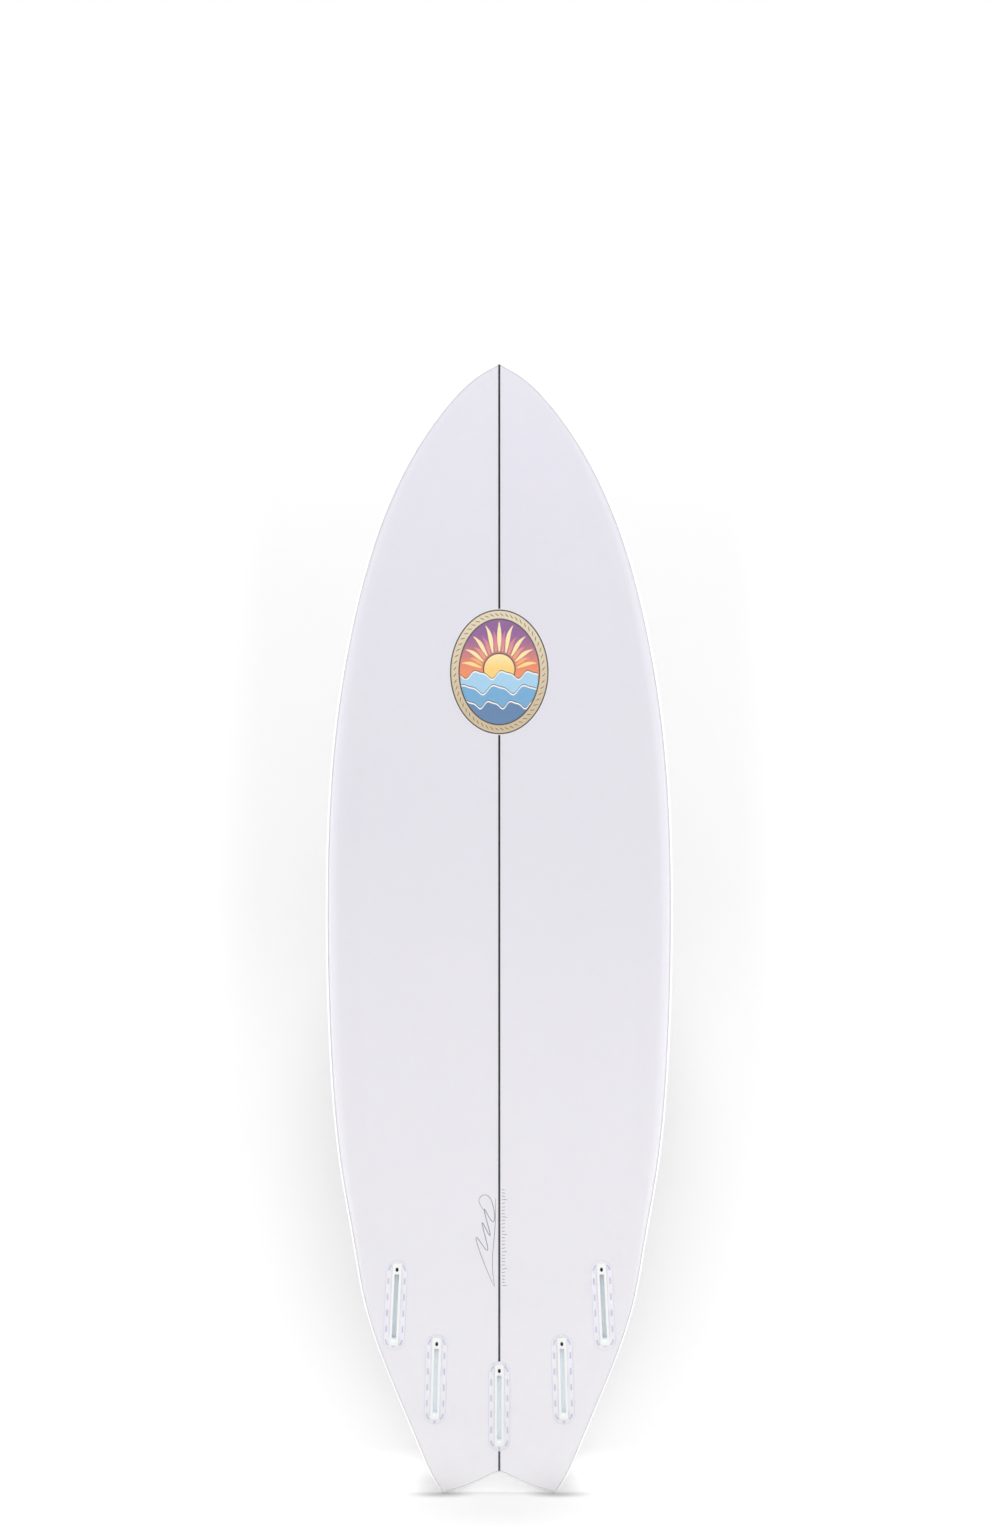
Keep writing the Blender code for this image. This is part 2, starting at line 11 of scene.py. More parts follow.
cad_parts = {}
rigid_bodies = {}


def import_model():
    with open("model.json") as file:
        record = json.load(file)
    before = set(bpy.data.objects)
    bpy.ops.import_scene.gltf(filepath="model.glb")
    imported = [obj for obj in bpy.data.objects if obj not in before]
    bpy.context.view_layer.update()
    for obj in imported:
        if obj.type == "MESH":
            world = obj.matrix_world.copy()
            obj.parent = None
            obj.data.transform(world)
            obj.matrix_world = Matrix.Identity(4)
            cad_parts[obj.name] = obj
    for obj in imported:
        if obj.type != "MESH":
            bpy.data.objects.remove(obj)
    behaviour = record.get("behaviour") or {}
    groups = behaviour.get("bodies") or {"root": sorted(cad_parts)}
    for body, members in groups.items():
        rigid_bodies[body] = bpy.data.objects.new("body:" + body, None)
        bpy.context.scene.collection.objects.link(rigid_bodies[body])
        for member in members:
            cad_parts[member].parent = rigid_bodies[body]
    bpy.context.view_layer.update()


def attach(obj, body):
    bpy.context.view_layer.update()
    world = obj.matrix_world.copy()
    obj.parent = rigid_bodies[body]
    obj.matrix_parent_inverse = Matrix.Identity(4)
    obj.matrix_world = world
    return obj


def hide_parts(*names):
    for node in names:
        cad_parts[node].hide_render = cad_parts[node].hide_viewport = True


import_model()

# ---------------------------------------------------------------- dimensions shared with the CAD

LENGTH = 1.727
HALF_WIDTH = 0.2635
SWALLOW_DEPTH = 0.0308
TAIL_TIP_X = 0.0875
NOSE_TEMPLATE = (
    (0.0, LENGTH), (0.0137, 1.7190), (0.0330, 1.7070), (0.0607, 1.6830), (0.0810, 1.6600),
    (0.1198, 1.6060), (0.1797, 1.4840), (0.2296, 1.3010), (0.2553, 1.1180), (HALF_WIDTH, 0.9050),
    (0.2590, 0.6910), (0.2438, 0.5080), (0.2232, 0.3860), (0.2064, 0.2940), (0.1866, 0.2280),
)
HIP_TEMPLATE = (
    (0.1866, 0.2280), (0.1700, 0.1850), (0.1475, 0.1300), (0.1250, 0.0750), (0.1004, 0.0200),
    (TAIL_TIP_X, 0.0),
)
NOTCH_TEMPLATE = (
    (TAIL_TIP_X, 0.0), (0.0700, 0.0036), (0.0580, 0.0070), (0.0458, 0.0114), (0.0214, 0.0222),
    (0.0060, 0.0293), (0.0, SWALLOW_DEPTH),
)
THICKNESS = (
    (0.0, 0.0130), (0.030, 0.0215), (0.100, 0.0325), (0.300, 0.0490), (0.600, 0.0625),
    (0.880, 0.0660), (1.150, 0.0620), (1.420, 0.0435), (1.640, 0.0200), (1.727, 0.0080),
)
NOSE_ROCKER, TAIL_ROCKER, FLAT_SPOT = 0.122, 0.056, 0.800
CROWN = 0.24
CONCAVE = 0.0028
NOSE_SPINE, TAIL_SPINE = LENGTH - 0.015, 0.110
PRONG_SPINE = (0.0750, 0.0165)
PRONG_START = 0.190
GLASS = 0.0008
GAP = 0.0003
STRINGER_HALF = 0.0016
BOX_PLACES = (
    ("front_left", -0.1578, 0.2885, 2.70, 0.0190),
    ("front_right", 0.1578, 0.2885, -2.70, 0.0190),
    ("rear_left", -0.0966, 0.1748, 1.55, 0.0127),
    ("rear_right", 0.0966, 0.1748, -1.55, 0.0127),
    ("centre", 0.0, 0.1335, 0.0, 0.0127),
)
BODY_HALF_WIDTH, BODY_TAIL, BODY_NOSE, BODY_CORNER = 0.0070, -0.0620, 0.0645, 0.0030
FLANGE_HALF_WIDTH, FLANGE_HALF_LENGTH, FLANGE_TOP, FLANGE_THICK = 0.0165, 0.0690, -0.0016, 0.0016
SLOT_HALF_WIDTH, SLOT_TAIL, SLOT_NOSE, SLOT_FLOOR = 0.0034, -0.0515, 0.0475, 0.0025
PERF_PITCH, PERF_X, PERF_HALF_LENGTH, PERF_HALF_WIDTH = 0.0246, 0.0125, 0.0051, 0.0012
BOX_INSET = 0.00015
SCREW_ENTRY, SCREW_ANGLE = 0.0548, math.radians(45)
BORE_RADIUS, SCREW_RADIUS, SCREW_HEAD, SCREW_TIP = 0.0023, 0.0020, 0.0026, 0.0079
PLUG_X, PLUG_Z = 0.0340, 0.1250
CUP_RADIUS, CUP_INNER, CUP_DEPTH, CUP_FLOOR = 0.0140, 0.0100, 0.0170, 0.0040
PIN_RADIUS, PIN_DEPTH, PIN_HALF_LENGTH = 0.0016, 0.0037, 0.0130
DECAL_Z, DECAL_HALF_X, DECAL_HALF_Z = 1.2510, 0.0760, 0.0960

FINE_SEAM = 0.00006  # the laminations lap on the rail, so the fine shells all but meet
LAP = 0.052  # how far the glass cloth laps over from the rail
PAINTED_RIM_FROM, PAINTED_RIM_TO = 0.0020, 0.0050  # a painted highlight: the bottom's rails are drawn whiter this far in from the outline

# ---------------------------------------------------------------- the board's surface


def cubic_path(stations, count):
    p = np.array(stations, float)
    k = np.concatenate([[0], np.cumsum(np.linalg.norm(np.diff(p, axis=0), axis=1) ** 0.75)])
    n = len(k)
    h = np.diff(k)
    a = np.zeros((n, n))
    r = np.zeros((n, p.shape[1]))
    a[0, 0] = a[-1, -1] = 1
    for i in range(1, n - 1):
        a[i, i - 1], a[i, i], a[i, i + 1] = h[i - 1], 2 * (h[i - 1] + h[i]), h[i]
        r[i] = 6 * ((p[i + 1] - p[i]) / h[i] - (p[i] - p[i - 1]) / h[i - 1])
    m = np.linalg.solve(a, r)
    u = np.linspace(0, k[-1], 4001)
    j = np.clip(np.searchsorted(k, u, side="right") - 1, 0, n - 2)
    t, w = (u - k[j])[:, None], h[j][:, None]
    c = (
        m[j] * (w - t) ** 3 / (6 * w)
        + m[j + 1] * t**3 / (6 * w)
        + (p[j] / w - m[j] * w / 6) * (w - t)
        + (p[j + 1] / w - m[j + 1] * w / 6) * t
    )
    s = np.concatenate([[0], np.cumsum(np.linalg.norm(np.diff(c, axis=0), axis=1))])
    at = np.linspace(0, s[-1], count)
    return np.stack([np.interp(at, s, c[:, i]) for i in range(p.shape[1])], axis=1)


def smooth_step(t):
    t = min(1.0, max(0.0, t))
    return t * t * (3 - 2 * t)


OUTER = np.concatenate([cubic_path(NOSE_TEMPLATE, 1500), cubic_path(HIP_TEMPLATE, 400)[1:]])
NOTCH = cubic_path(NOTCH_TEMPLATE, 400)
THICK = cubic_path(THICKNESS, 1000)
OUTER_Z, OUTER_X = OUTER[::-1, 1], OUTER[::-1, 0]


def half_width(z):
    return float(np.interp(z, OUTER_Z, OUTER_X))


def thickness(z):
    return float(np.interp(z, THICK[:, 0], THICK[:, 1]))


def rocker(z):
    if z > FLAT_SPOT:
        return NOSE_ROCKER * ((z - FLAT_SPOT) / (LENGTH - FLAT_SPOT)) ** 2.4
    return TAIL_ROCKER * ((FLAT_SPOT - z) / FLAT_SPOT) ** 1.9


def bottom_y(x, z):
    deep = CONCAVE * smooth_step((z - 0.02) / 0.30) * smooth_step((1.60 - z) / 0.55)
    q = min(1.0, abs(x) / max(0.88 * half_width(z), 1e-6))
    return rocker(z) + deep * (1 - q * q) ** 2


def deck_rise(x, z):
    q = min(1.0, abs(x) / max(half_width(z), 1e-6))
    crown = CROWN * smooth_step((LENGTH - z) / 0.10)
    return thickness(z) * (1 - crown * q**2.2)


def deck_y(x, z):
    return rocker(z) + deck_rise(x, z)


def rail_shape(edge, reach, notch):
    x, z = edge
    share = 0.30 + 0.12 * smooth_step((z - 0.05) / 0.45) + 0.06 * smooth_step((z - 1.35) / 0.35)
    apex = share * deck_rise(x, z)
    tuck = 0.0055 + 0.0165 * smooth_step((z - 0.15) / 0.55) - 0.0080 * smooth_step((z - 1.2) / 0.5)
    deck = max(0.0100, 0.31 * half_width(z))
    tuck = (1 - notch) * tuck + notch * 0.0050
    deck = (1 - notch) * deck + notch * 0.0110
    over = deck_rise(x, z) - apex
    return apex, min(tuck, 1.4 * apex, 0.85 * reach), min(deck, 2.8 * over, 0.90 * reach)


def edge_at(path, share):
    s = np.linspace(0, 1, len(path))
    return np.array([np.interp(share, s, path[:, 0]), np.interp(share, s, path[:, 1])])


def spread(a, b, count, pull):
    return [a + (b - a) * (i / count) ** pull for i in range(count + 1)]


def board_rows(upper, prong):
    start = float(np.interp(-PRONG_START, -OUTER[:, 1], np.linspace(0, 1, len(OUTER))))
    rows = []
    for share in spread(0.0, start, upper, 1.45)[:-1]:
        edge = edge_at(OUTER, share)
        down = (LENGTH - edge[1]) / (LENGTH - PRONG_START)
        rows.append((edge, np.array([0.0, NOSE_SPINE + (TAIL_SPINE - NOSE_SPINE) * down]), 0.0))
    rows[0][0][0] = 0.0
    foot, tip = np.array([0.0, TAIL_SPINE]), np.array(PRONG_SPINE)
    shares = spread(0.0, 1.0, prong, 0.92)
    for f in shares:
        rows.append((edge_at(OUTER, start + (1 - start) * f), foot + (tip - foot) * f, 0.4 * smooth_step((f - 0.7) / 0.3)))
    for f in shares[::-1][1:]:
        rows.append((edge_at(NOTCH, 1 - f), foot + (tip - foot) * f, 0.4 + 0.6 * smooth_step((1 - f) / 0.3)))
    rows[-1][0][0] = 0.0
    return rows


def section(row, flats, bottom_turns, deck_turns, seam=0.0):
    """Section points as (x, y, z, distance in from the outline)."""
    edge, spine, notch = row
    reach = float(np.linalg.norm(edge - spine))
    apex, tuck, deck = rail_shape(edge, reach, notch)

    def at(d):
        return edge + (spine - edge) * (d / reach)

    bottom, top = [], []
    for i in range(flats):
        d = reach + (tuck - reach) * i / flats
        x, z = at(d)
        bottom.append((x, bottom_y(x, z), z, d))
    last = math.acos(min(0.5, seam / 2 / apex))
    for turn in [0.0, *bottom_turns, 1.0]:
        d = tuck * (1 - math.sin(turn * last))
        x, z = at(d)
        share = 1 - math.cos(turn * last)
        bottom.append((x, bottom_y(x, z) * (1 - share) + rocker(z) * share + apex * share, z, d))
    over = deck_rise(*edge) - apex
    last = math.acos(min(0.5, seam / 2 / over))
    for turn in [1.0, *deck_turns[::-1], 0.0]:
        d = deck * (1 - math.sin(turn * last))
        x, z = at(d)
        share = 1 - math.cos(turn * last)
        rise = deck_rise(x, z)
        top.append((x, rocker(z) + rise - (rise - apex) * share, z, d))
    for i in range(flats - 1, -1, -1):
        d = reach + (deck - reach) * i / flats
        x, z = at(d)
        top.append((x, rocker(z) + deck_rise(x, z), z, d))
    return bottom, top


FLATS = 12
BOTTOM, EDGE, DECK = 0, 1, 2
BOTTOM_TURNS = [i / 10 for i in range(1, 10)]
DECK_TURNS = [i / 14 for i in range(1, 14)] + [0.975]
ROWS = board_rows(180, 34)
CENTRE_Y = -0.5 * (NOSE_ROCKER + thickness(LENGTH))

# ---------------------------------------------------------------- mesh helpers

pieces = bpy.data.collections.new("shortboard_pieces")
helpers = bpy.data.collections.new("helpers")
bpy.context.scene.collection.children.link(pieces)
bpy.context.scene.collection.children.link(helpers)


def add(name, mesh, finish=None, matrix=None, group=None):
    made = bpy.data.objects.new(name, mesh)
    (group or pieces).objects.link(made)
    if matrix is not None:
        made.matrix_world = matrix
    if finish is not None:
        slots = [p.material_index for p in mesh.polygons]
        mesh.materials.clear()
        for one in finish if isinstance(finish, (list, tuple)) else [finish]:
            mesh.materials.append(one)
        mesh.polygons.foreach_set("material_index", slots)
    return made


def mesh_of(name, bm):
    bmesh.ops.recalc_face_normals(bm, faces=bm.faces)
    made = bpy.data.meshes.new(name)
    bm.to_mesh(made)
    bm.free()
    return made


def smooth(mesh, angle=30):
    mesh.shade_smooth()
    mesh.set_sharp_from_angle(angle=math.radians(angle))
    return mesh


def board_surface(seam):
    """The whole outer surface, with each face marked bottom, edge or deck, and each vertex its distance in from the outline."""
    bm = bmesh.new()
    part_of = bm.faces.layers.int.new("part")
    inward = bm.verts.layers.float.new("rail_distance")
    turn = len(BOTTOM_TURNS) + FLATS + 1
    strips = []
    for row in ROWS:
        low, high = section(row, FLATS, BOTTOM_TURNS, DECK_TURNS, seam)
        strips.append(low + (high if seam else high[1:]))
    for side in (1, -1):
        grid = []
        for strip in strips:
            line = []
            for x, y, z, d in strip:
                v = bm.verts.new((side * x, y + CENTRE_Y, z))
                v[inward] = d
                line.append(v)
            grid.append(line)
        for a, b in zip(grid, grid[1:]):
            for j in range(len(a) - 1):
                quad = (a[j], b[j], b[j + 1], a[j + 1])
                face = bm.faces.new(quad if side > 0 else quad[::-1])
                if seam:
                    face[part_of] = BOTTOM if j < turn else EDGE if j == turn else DECK
                else:
                    face[part_of] = BOTTOM if j < turn else DECK
    bmesh.ops.remove_doubles(bm, verts=bm.verts, dist=1e-6)
    bmesh.ops.recalc_face_normals(bm, faces=bm.faces)
    bm.normal_update()
    return bm, part_of, inward


def inner_point(vertex, depth):
    return vertex.co - vertex.normal * depth * min(2.0, vertex.calc_shell_factor())


def boolean(target, cutter, operation="DIFFERENCE"):
    """Cuts target with cutter and keeps the result in target's mesh."""
    modifier = target.modifiers.new("cut", "BOOLEAN")
    modifier.operation = operation
    modifier.solver = "EXACT"
    modifier.object = cutter
    bpy.context.view_layer.update()
    made = bpy.data.meshes.new_from_object(
        target.evaluated_get(bpy.context.evaluated_depsgraph_get()), preserve_all_data_layers=True,
        depsgraph=bpy.context.evaluated_depsgraph_get(),
    )
    target.modifiers.remove(modifier)
    old = target.data
    target.data = made
    bpy.data.meshes.remove(old)


def cut_shell(target, cutter):
    """Cuts a lamination and gives the new corners the rail distance of the old surface beside them."""
    before = target.data.attributes["rail_distance"].data
    values = [one.value for one in before]
    tree = kdtree.KDTree(len(values))
    for v in target.data.vertices:
        tree.insert(v.co, v.index)
    tree.balance()
    boolean(target, cutter)
    mesh = target.data
    layer = mesh.attributes.get("rail_distance") or mesh.attributes.new("rail_distance", "FLOAT", "POINT")
    for v in mesh.vertices:
        near = tree.find_n(v.co, 3)
        shares = [1 / (far + 1e-7) for _, _, far in near]
        layer.data[v.index].value = sum(values[i] * w for (_, i, _), w in zip(near, shares)) / sum(shares)


def discard(*objects):
    for o in objects:
        bpy.data.objects.remove(o, do_unlink=True)


def flat_solid(name, outlines, low, high):
    """The mesh of flat outlines in the XY plane (inner ones are holes), extruded from low to high along Z."""
    curve = bpy.data.curves.new(name, "CURVE")
    curve.dimensions = "2D"
    curve.fill_mode = "BOTH"
    curve.extrude = (high - low) / 2
    for outline in outlines:
        spline = curve.splines.new("POLY")
        spline.points.add(len(outline) - 1)
        for point, (x, y) in zip(spline.points, outline):
            point.co = (x, y, 0, 1)
        spline.use_cyclic_u = True
    helper = bpy.data.objects.new(name, curve)
    helpers.objects.link(helper)
    bpy.context.view_layer.update()
    mesh = bpy.data.meshes.new_from_object(helper.evaluated_get(bpy.context.evaluated_depsgraph_get()))
    bpy.data.objects.remove(helper)
    bpy.data.curves.remove(curve)
    bm = bmesh.new()
    bm.from_mesh(mesh)
    bmesh.ops.remove_doubles(bm, verts=bm.verts, dist=1e-6)
    bmesh.ops.translate(bm, verts=bm.verts, vec=(0, 0, (high + low) / 2))
    bmesh.ops.recalc_face_normals(bm, faces=bm.faces)
    bm.to_mesh(mesh)
    bm.free()
    return mesh


def round_rect(half_x, low_y, high_y, corner, steps):
    points = []
    for x, y, start in (
        (half_x - corner, high_y - corner, 0.0),
        (corner - half_x, high_y - corner, 0.5),
        (corner - half_x, low_y + corner, 1.0),
        (half_x - corner, low_y + corner, 1.5),
    ):
        for i in range(steps + 1):
            a = math.pi * (start + 0.5 * i / steps)
            point = (x + corner * math.cos(a), y + corner * math.sin(a))
            if not points or math.dist(points[-1], point) > 1e-7:
                points.append(point)
    return points if math.dist(points[0], points[-1]) > 1e-7 else points[:-1]


def cylinder(name, radius, low, high, sides):
    bm = bmesh.new()
    bmesh.ops.create_cone(bm, cap_ends=True, segments=sides, radius1=radius, radius2=radius, depth=high - low)
    bmesh.ops.translate(bm, verts=bm.verts, vec=(0, 0, (high + low) / 2))
    return mesh_of(name, bm)


def block(name, low, high):
    bm = bmesh.new()
    bmesh.ops.create_cube(bm, size=1.0)
    for v in bm.verts:
        v.co = Vector([l + (h - l) * (c + 0.5) for l, h, c in zip(low, high, v.co)])
    return mesh_of(name, bm)


def lathe(name, profile, steps):
    """A closed solid of revolution about Z; the profile runs from the axis back to the axis."""
    bm = bmesh.new()
    rings = []
    for r, z in profile:
        if r < 1e-7:
            rings.append([bm.verts.new((0, 0, z))] * steps)
        else:
            rings.append([bm.verts.new((r * math.cos(2 * math.pi * k / steps), r * math.sin(2 * math.pi * k / steps), z)) for k in range(steps)])
    for a, b in zip(rings, rings[1:]):
        for k in range(steps):
            n = (k + 1) % steps
            corners = []
            for v in (a[k], a[n], b[n], b[k]):
                if v not in corners:
                    corners.append(v)
            if len(corners) > 2:
                bm.faces.new(corners)
    return mesh_of(name, bm)


def bevelled(mesh, width, segments=2, angle=40):
    """A copy of the mesh with its sharp edges rounded."""
    holder = bpy.data.objects.new("bevel", mesh)
    helpers.objects.link(holder)
    m = holder.modifiers.new("round", "BEVEL")
    m.width = width
    m.segments = segments
    m.limit_method = "ANGLE"
    m.angle_limit = math.radians(angle)
    m.use_clamp_overlap = True
    m.harden_normals = False
    bpy.context.view_layer.update()
    made = bpy.data.meshes.new_from_object(holder.evaluated_get(bpy.context.evaluated_depsgraph_get()))
    bpy.data.objects.remove(holder)
    return made


def joined(name, meshes):
    """One mesh of several closed ones, each given as (mesh, matrix) and each with its faces outwards."""
    bm = bmesh.new()
    for mesh, matrix in meshes:
        one = bmesh.new()
        one.from_mesh(mesh)
        bmesh.ops.transform(one, matrix=matrix, verts=one.verts)
        if one.calc_volume(signed=True) < 0:
            bmesh.ops.reverse_faces(one, faces=one.faces)
        passing = bpy.data.meshes.new("passing")
        one.to_mesh(passing)
        one.free()
        bm.from_mesh(passing)
        bpy.data.meshes.remove(passing)
    made = bpy.data.meshes.new(name)
    bm.to_mesh(made)
    bm.free()
    return made


# ---------------------------------------------------------------- materials


class Nodes:
    """A small helper that builds a material's nodes."""

    def __init__(self, name):
        self.material = bpy.data.materials.new(name)
        self.material.use_nodes = True
        self.tree = self.material.node_tree
        self.tree.nodes.clear()
        self.out = self.tree.nodes.new("ShaderNodeOutputMaterial")

    def new(self, kind, **values):
        node = self.tree.nodes.new("ShaderNode" + kind)
        for key, value in values.items():
            if key in ("operation", "blend_type", "data_type", "noise_dimensions", "wave_type", "bands_direction",
                       "feature", "attribute_name", "attribute_type", "interpolation_type", "wave_profile", "distribution"):
                setattr(node, key, value)
            else:
                node.inputs[key].default_value = value
        return node

    def link(self, a, b):
        self.tree.links.new(a, b)

    def ramp(self, fac, stops):
        node = self.tree.nodes.new("ShaderNodeValToRGB")
        while len(node.color_ramp.elements) < len(stops):
            node.color_ramp.elements.new(0.5)
        for element, (at, colour) in zip(node.color_ramp.elements, stops):
            element.position = at
            element.color = (*colour, 1.0)
        self.link(fac, node.inputs["Fac"])
        return node.outputs["Color"]

    def object_coordinates(self, scale=(1, 1, 1)):
        coordinates = self.new("TexCoord")
        mapping = self.new("Mapping")
        mapping.inputs["Scale"].default_value = scale
        self.link(coordinates.outputs["Object"], mapping.inputs["Vector"])
        return mapping.outputs["Vector"]

    def noise(self, vector, scale, detail=4.0, roughness=0.5):
        node = self.new("TexNoise", Scale=scale, Detail=detail, Roughness=roughness)
        self.link(vector, node.inputs["Vector"])
        return node.outputs["Fac"]

    def math(self, operation, a, b=None, c=None):
        node = self.new("Math", operation=operation)
        for socket, value in zip(node.inputs, (a, b, c)):
            if value is None:
                continue
            if isinstance(value, (int, float)):
                socket.default_value = value
            else:
                self.link(value, socket)
        return node.outputs[0]

    def spread(self, value, low, high, to_low, to_high, kind="SMOOTHSTEP"):
        node = self.new("MapRange", interpolation_type=kind)
        self.link(value, node.inputs["Value"])
        for key, number in zip(("From Min", "From Max", "To Min", "To Max"), (low, high, to_low, to_high)):
            node.inputs[key].default_value = number
        return node.outputs["Result"]

    def mix(self, fac, a, b, blend="MIX"):
        node = self.tree.nodes.new("ShaderNodeMix")
        node.data_type = "RGBA"
        node.blend_type = blend
        for socket, value in ((node.inputs[0], fac), (node.inputs[6], a), (node.inputs[7], b)):
            if isinstance(value, (int, float)):
                socket.default_value = value
            elif isinstance(value, tuple):
                socket.default_value = (*value, 1.0)
            else:
                self.link(value, socket)
        return node.outputs[2]

    def bump(self, height, strength, distance):
        node = self.new("Bump", Strength=strength, Distance=distance)
        self.link(height, node.inputs["Height"])
        return node.outputs["Normal"]

    def principled(self, colour, roughness, normal=None, **values):
        shader = self.tree.nodes.new("ShaderNodeBsdfPrincipled")
        for key, value in values.items():
            shader.inputs[key.replace("_", " ")].default_value = value
        for socket, value in ((shader.inputs["Base Color"], colour), (shader.inputs["Roughness"], roughness)):
            if isinstance(value, tuple):
                socket.default_value = (*value, 1.0)
            elif isinstance(value, (int, float)):
                socket.default_value = value
            else:
                self.link(value, socket)
        if normal is not None:
            self.link(normal, shader.inputs["Normal"])
        return shader.outputs[0]

    def done(self, surface):
        self.link(surface, self.out.inputs["Surface"])
        return self.material


def foam_material():
    n = Nodes("foam_blank_and_painted_light")
    at = n.object_coordinates()
    cloud = n.noise(at, 5.0, 3.0)
    fine = n.noise(at, 700.0, 2.0, 0.6)
    cell = n.new("TexVoronoi", Scale=1400.0)
    n.link(at, cell.inputs["Vector"])
    parts = n.new("SeparateXYZ")
    n.link(at, parts.inputs[0])
    # Painted light and shade: the foam's colour ramps along the board, lighter towards the tail and darker towards the
    # middle and nose.
    up = n.spread(parts.outputs["Z"], 0.0, 1.727, 0.0, 1.0, "LINEAR")
    base = n.ramp(up, [(0.0, (0.912, 0.897, 0.902)), (0.03, (0.857, 0.843, 0.852)), (0.07, (0.808, 0.794, 0.810)), (0.17, (0.766, 0.752, 0.775)), (0.30, (0.756, 0.743, 0.771)), (0.45, (0.746, 0.733, 0.769)), (0.62, (0.732, 0.718, 0.763)), (0.80, (0.739, 0.725, 0.775)), (1.0, (0.743, 0.728, 0.786))])
    tone = n.mix(n.spread(cloud, 0.3, 0.7, 0.0, 0.25), base, (0.770, 0.758, 0.792))
    speck = n.spread(fine, 0.35, 0.75, 0.0, 0.10)
    tone = n.mix(speck, tone, (0.70, 0.68, 0.74))
    height = n.math("ADD", fine, n.math("MULTIPLY", cell.outputs["Distance"], 0.5))
    return n.done(n.principled(tone, 0.85, n.bump(height, 0.25, 0.0003), Subsurface_Weight=0.08, Subsurface_Scale=0.004, Specular_IOR_Level=0.3))


def stringer_material():
    n = Nodes("stringer_wood")
    at = n.object_coordinates((260.0, 260.0, 3.0))
    grain = n.noise(at, 4.0, 8.0, 0.65)
    coarse = n.noise(n.object_coordinates((40.0, 40.0, 1.5)), 6.0, 4.0)
    fleck = n.noise(n.object_coordinates((900.0, 900.0, 90.0)), 1.0, 3.0, 0.7)
    parts = n.new("SeparateXYZ")
    n.link(n.object_coordinates(), parts.inputs[0])
    up = n.spread(parts.outputs["Z"], 0.0, 1.727, 0.0, 1.0, "LINEAR")
    tone = n.ramp(grain, [(0.25, (0.004, 0.0035, 0.004)), (0.55, (0.011, 0.010, 0.011)), (0.8, (0.026, 0.023, 0.024))])
    tone = n.mix(n.spread(coarse, 0.35, 0.7, 0.0, 0.5), tone, (0.014, 0.012, 0.013))
    tone = n.mix(n.spread(fleck, 0.58, 0.72, 0.0, 0.35), tone, (0.09, 0.08, 0.08))
    pale = n.ramp(up, [(0.0, (0.62, 0.62, 0.62)), (0.20, (0.48, 0.48, 0.48)), (0.38, (0.30, 0.30, 0.30)), (0.60, (0.06, 0.06, 0.06)), (1.0, (0.0, 0.0, 0.0))])
    tone = n.mix(pale, tone, (0.085, 0.079, 0.083))
    return n.done(n.principled(tone, 0.7, n.bump(grain, 0.3, 0.0002), Specular_IOR_Level=0.15))


def glass_material(name, lap_from, tint, painted_rim_from, painted_rim_to):
    """Clear gloss resin over cloth: see-through straight on, and painted whiter along the rails as a highlight."""
    n = Nodes(name)
    at = n.object_coordinates()
    wave = n.noise(at, 7.0, 2.0, 0.4)
    orange = n.noise(at, 60.0, 2.0, 0.5)
    weave_a = n.new("TexWave", wave_type="BANDS", bands_direction="X", Scale=330.0, Distortion=0.6)
    weave_b = n.new("TexWave", wave_type="BANDS", bands_direction="Z", Scale=330.0, Distortion=0.6)
    weave_a.inputs["Detail"].default_value = 0.0
    weave_b.inputs["Detail"].default_value = 0.0
    n.link(at, weave_a.inputs["Vector"])
    n.link(at, weave_b.inputs["Vector"])
    weave = n.math("MULTIPLY", weave_a.outputs["Fac"], weave_b.outputs["Fac"])
    height = n.math("ADD", wave, n.math("ADD", n.math("MULTIPLY", orange, 0.08), n.math("MULTIPLY", weave, 0.004)))
    normal = n.bump(height, 0.30, 0.0008)
    inward = n.new("Attribute", attribute_name="rail_distance")
    far = inward.outputs["Fac"]
    ragged = n.math("ADD", far, n.math("MULTIPLY", n.math("SUBTRACT", n.noise(at, 14.0, 3.0), 0.5), 0.004))
    lap = n.spread(ragged, lap_from - 0.0025, lap_from + 0.0025, 1.0, 0.0)
    # The white band in from the outline is a painted highlight on the rails.
    rim = n.spread(far, painted_rim_from, painted_rim_to, 1.0, 0.0)
    cloth = n.math("MULTIPLY", lap, n.math("ADD", 0.015, n.math("MULTIPLY", weave, 0.03)))
    cover = n.math("MAXIMUM", cloth, n.math("MULTIPLY", rim, 0.92))
    clear = n.new("BsdfTransparent")
    clear.inputs["Color"].default_value = (*tint, 1.0)
    body = n.new("BsdfDiffuse")
    n.link(n.mix(rim, (0.86, 0.855, 0.87), (0.985, 0.985, 0.985)), body.inputs["Color"])
    under = n.new("MixShader")
    n.link(cover, under.inputs[0])
    n.link(clear.outputs[0], under.inputs[1])
    n.link(body.outputs[0], under.inputs[2])
    gloss = n.new("BsdfGlossy", Roughness=0.08)
    n.link(normal, gloss.inputs["Normal"])
    turned = n.new("LayerWeight", Blend=0.5)
    edge = n.math("MULTIPLY_ADD", n.math("POWER", turned.outputs["Facing"], 5.0), 0.92, 0.022)
    over = n.new("MixShader")
    n.link(edge, over.inputs[0])
    n.link(under.outputs[0], over.inputs[1])
    n.link(gloss.outputs[0], over.inputs[2])
    return n.done(over.outputs[0])


def clear_material(name):
    """The side of the lamination that is bonded to the foam."""
    n = Nodes(name)
    clear = n.new("BsdfTransparent")
    clear.inputs["Color"].default_value = (0.995, 0.995, 0.998, 1.0)
    return n.done(clear.outputs[0])


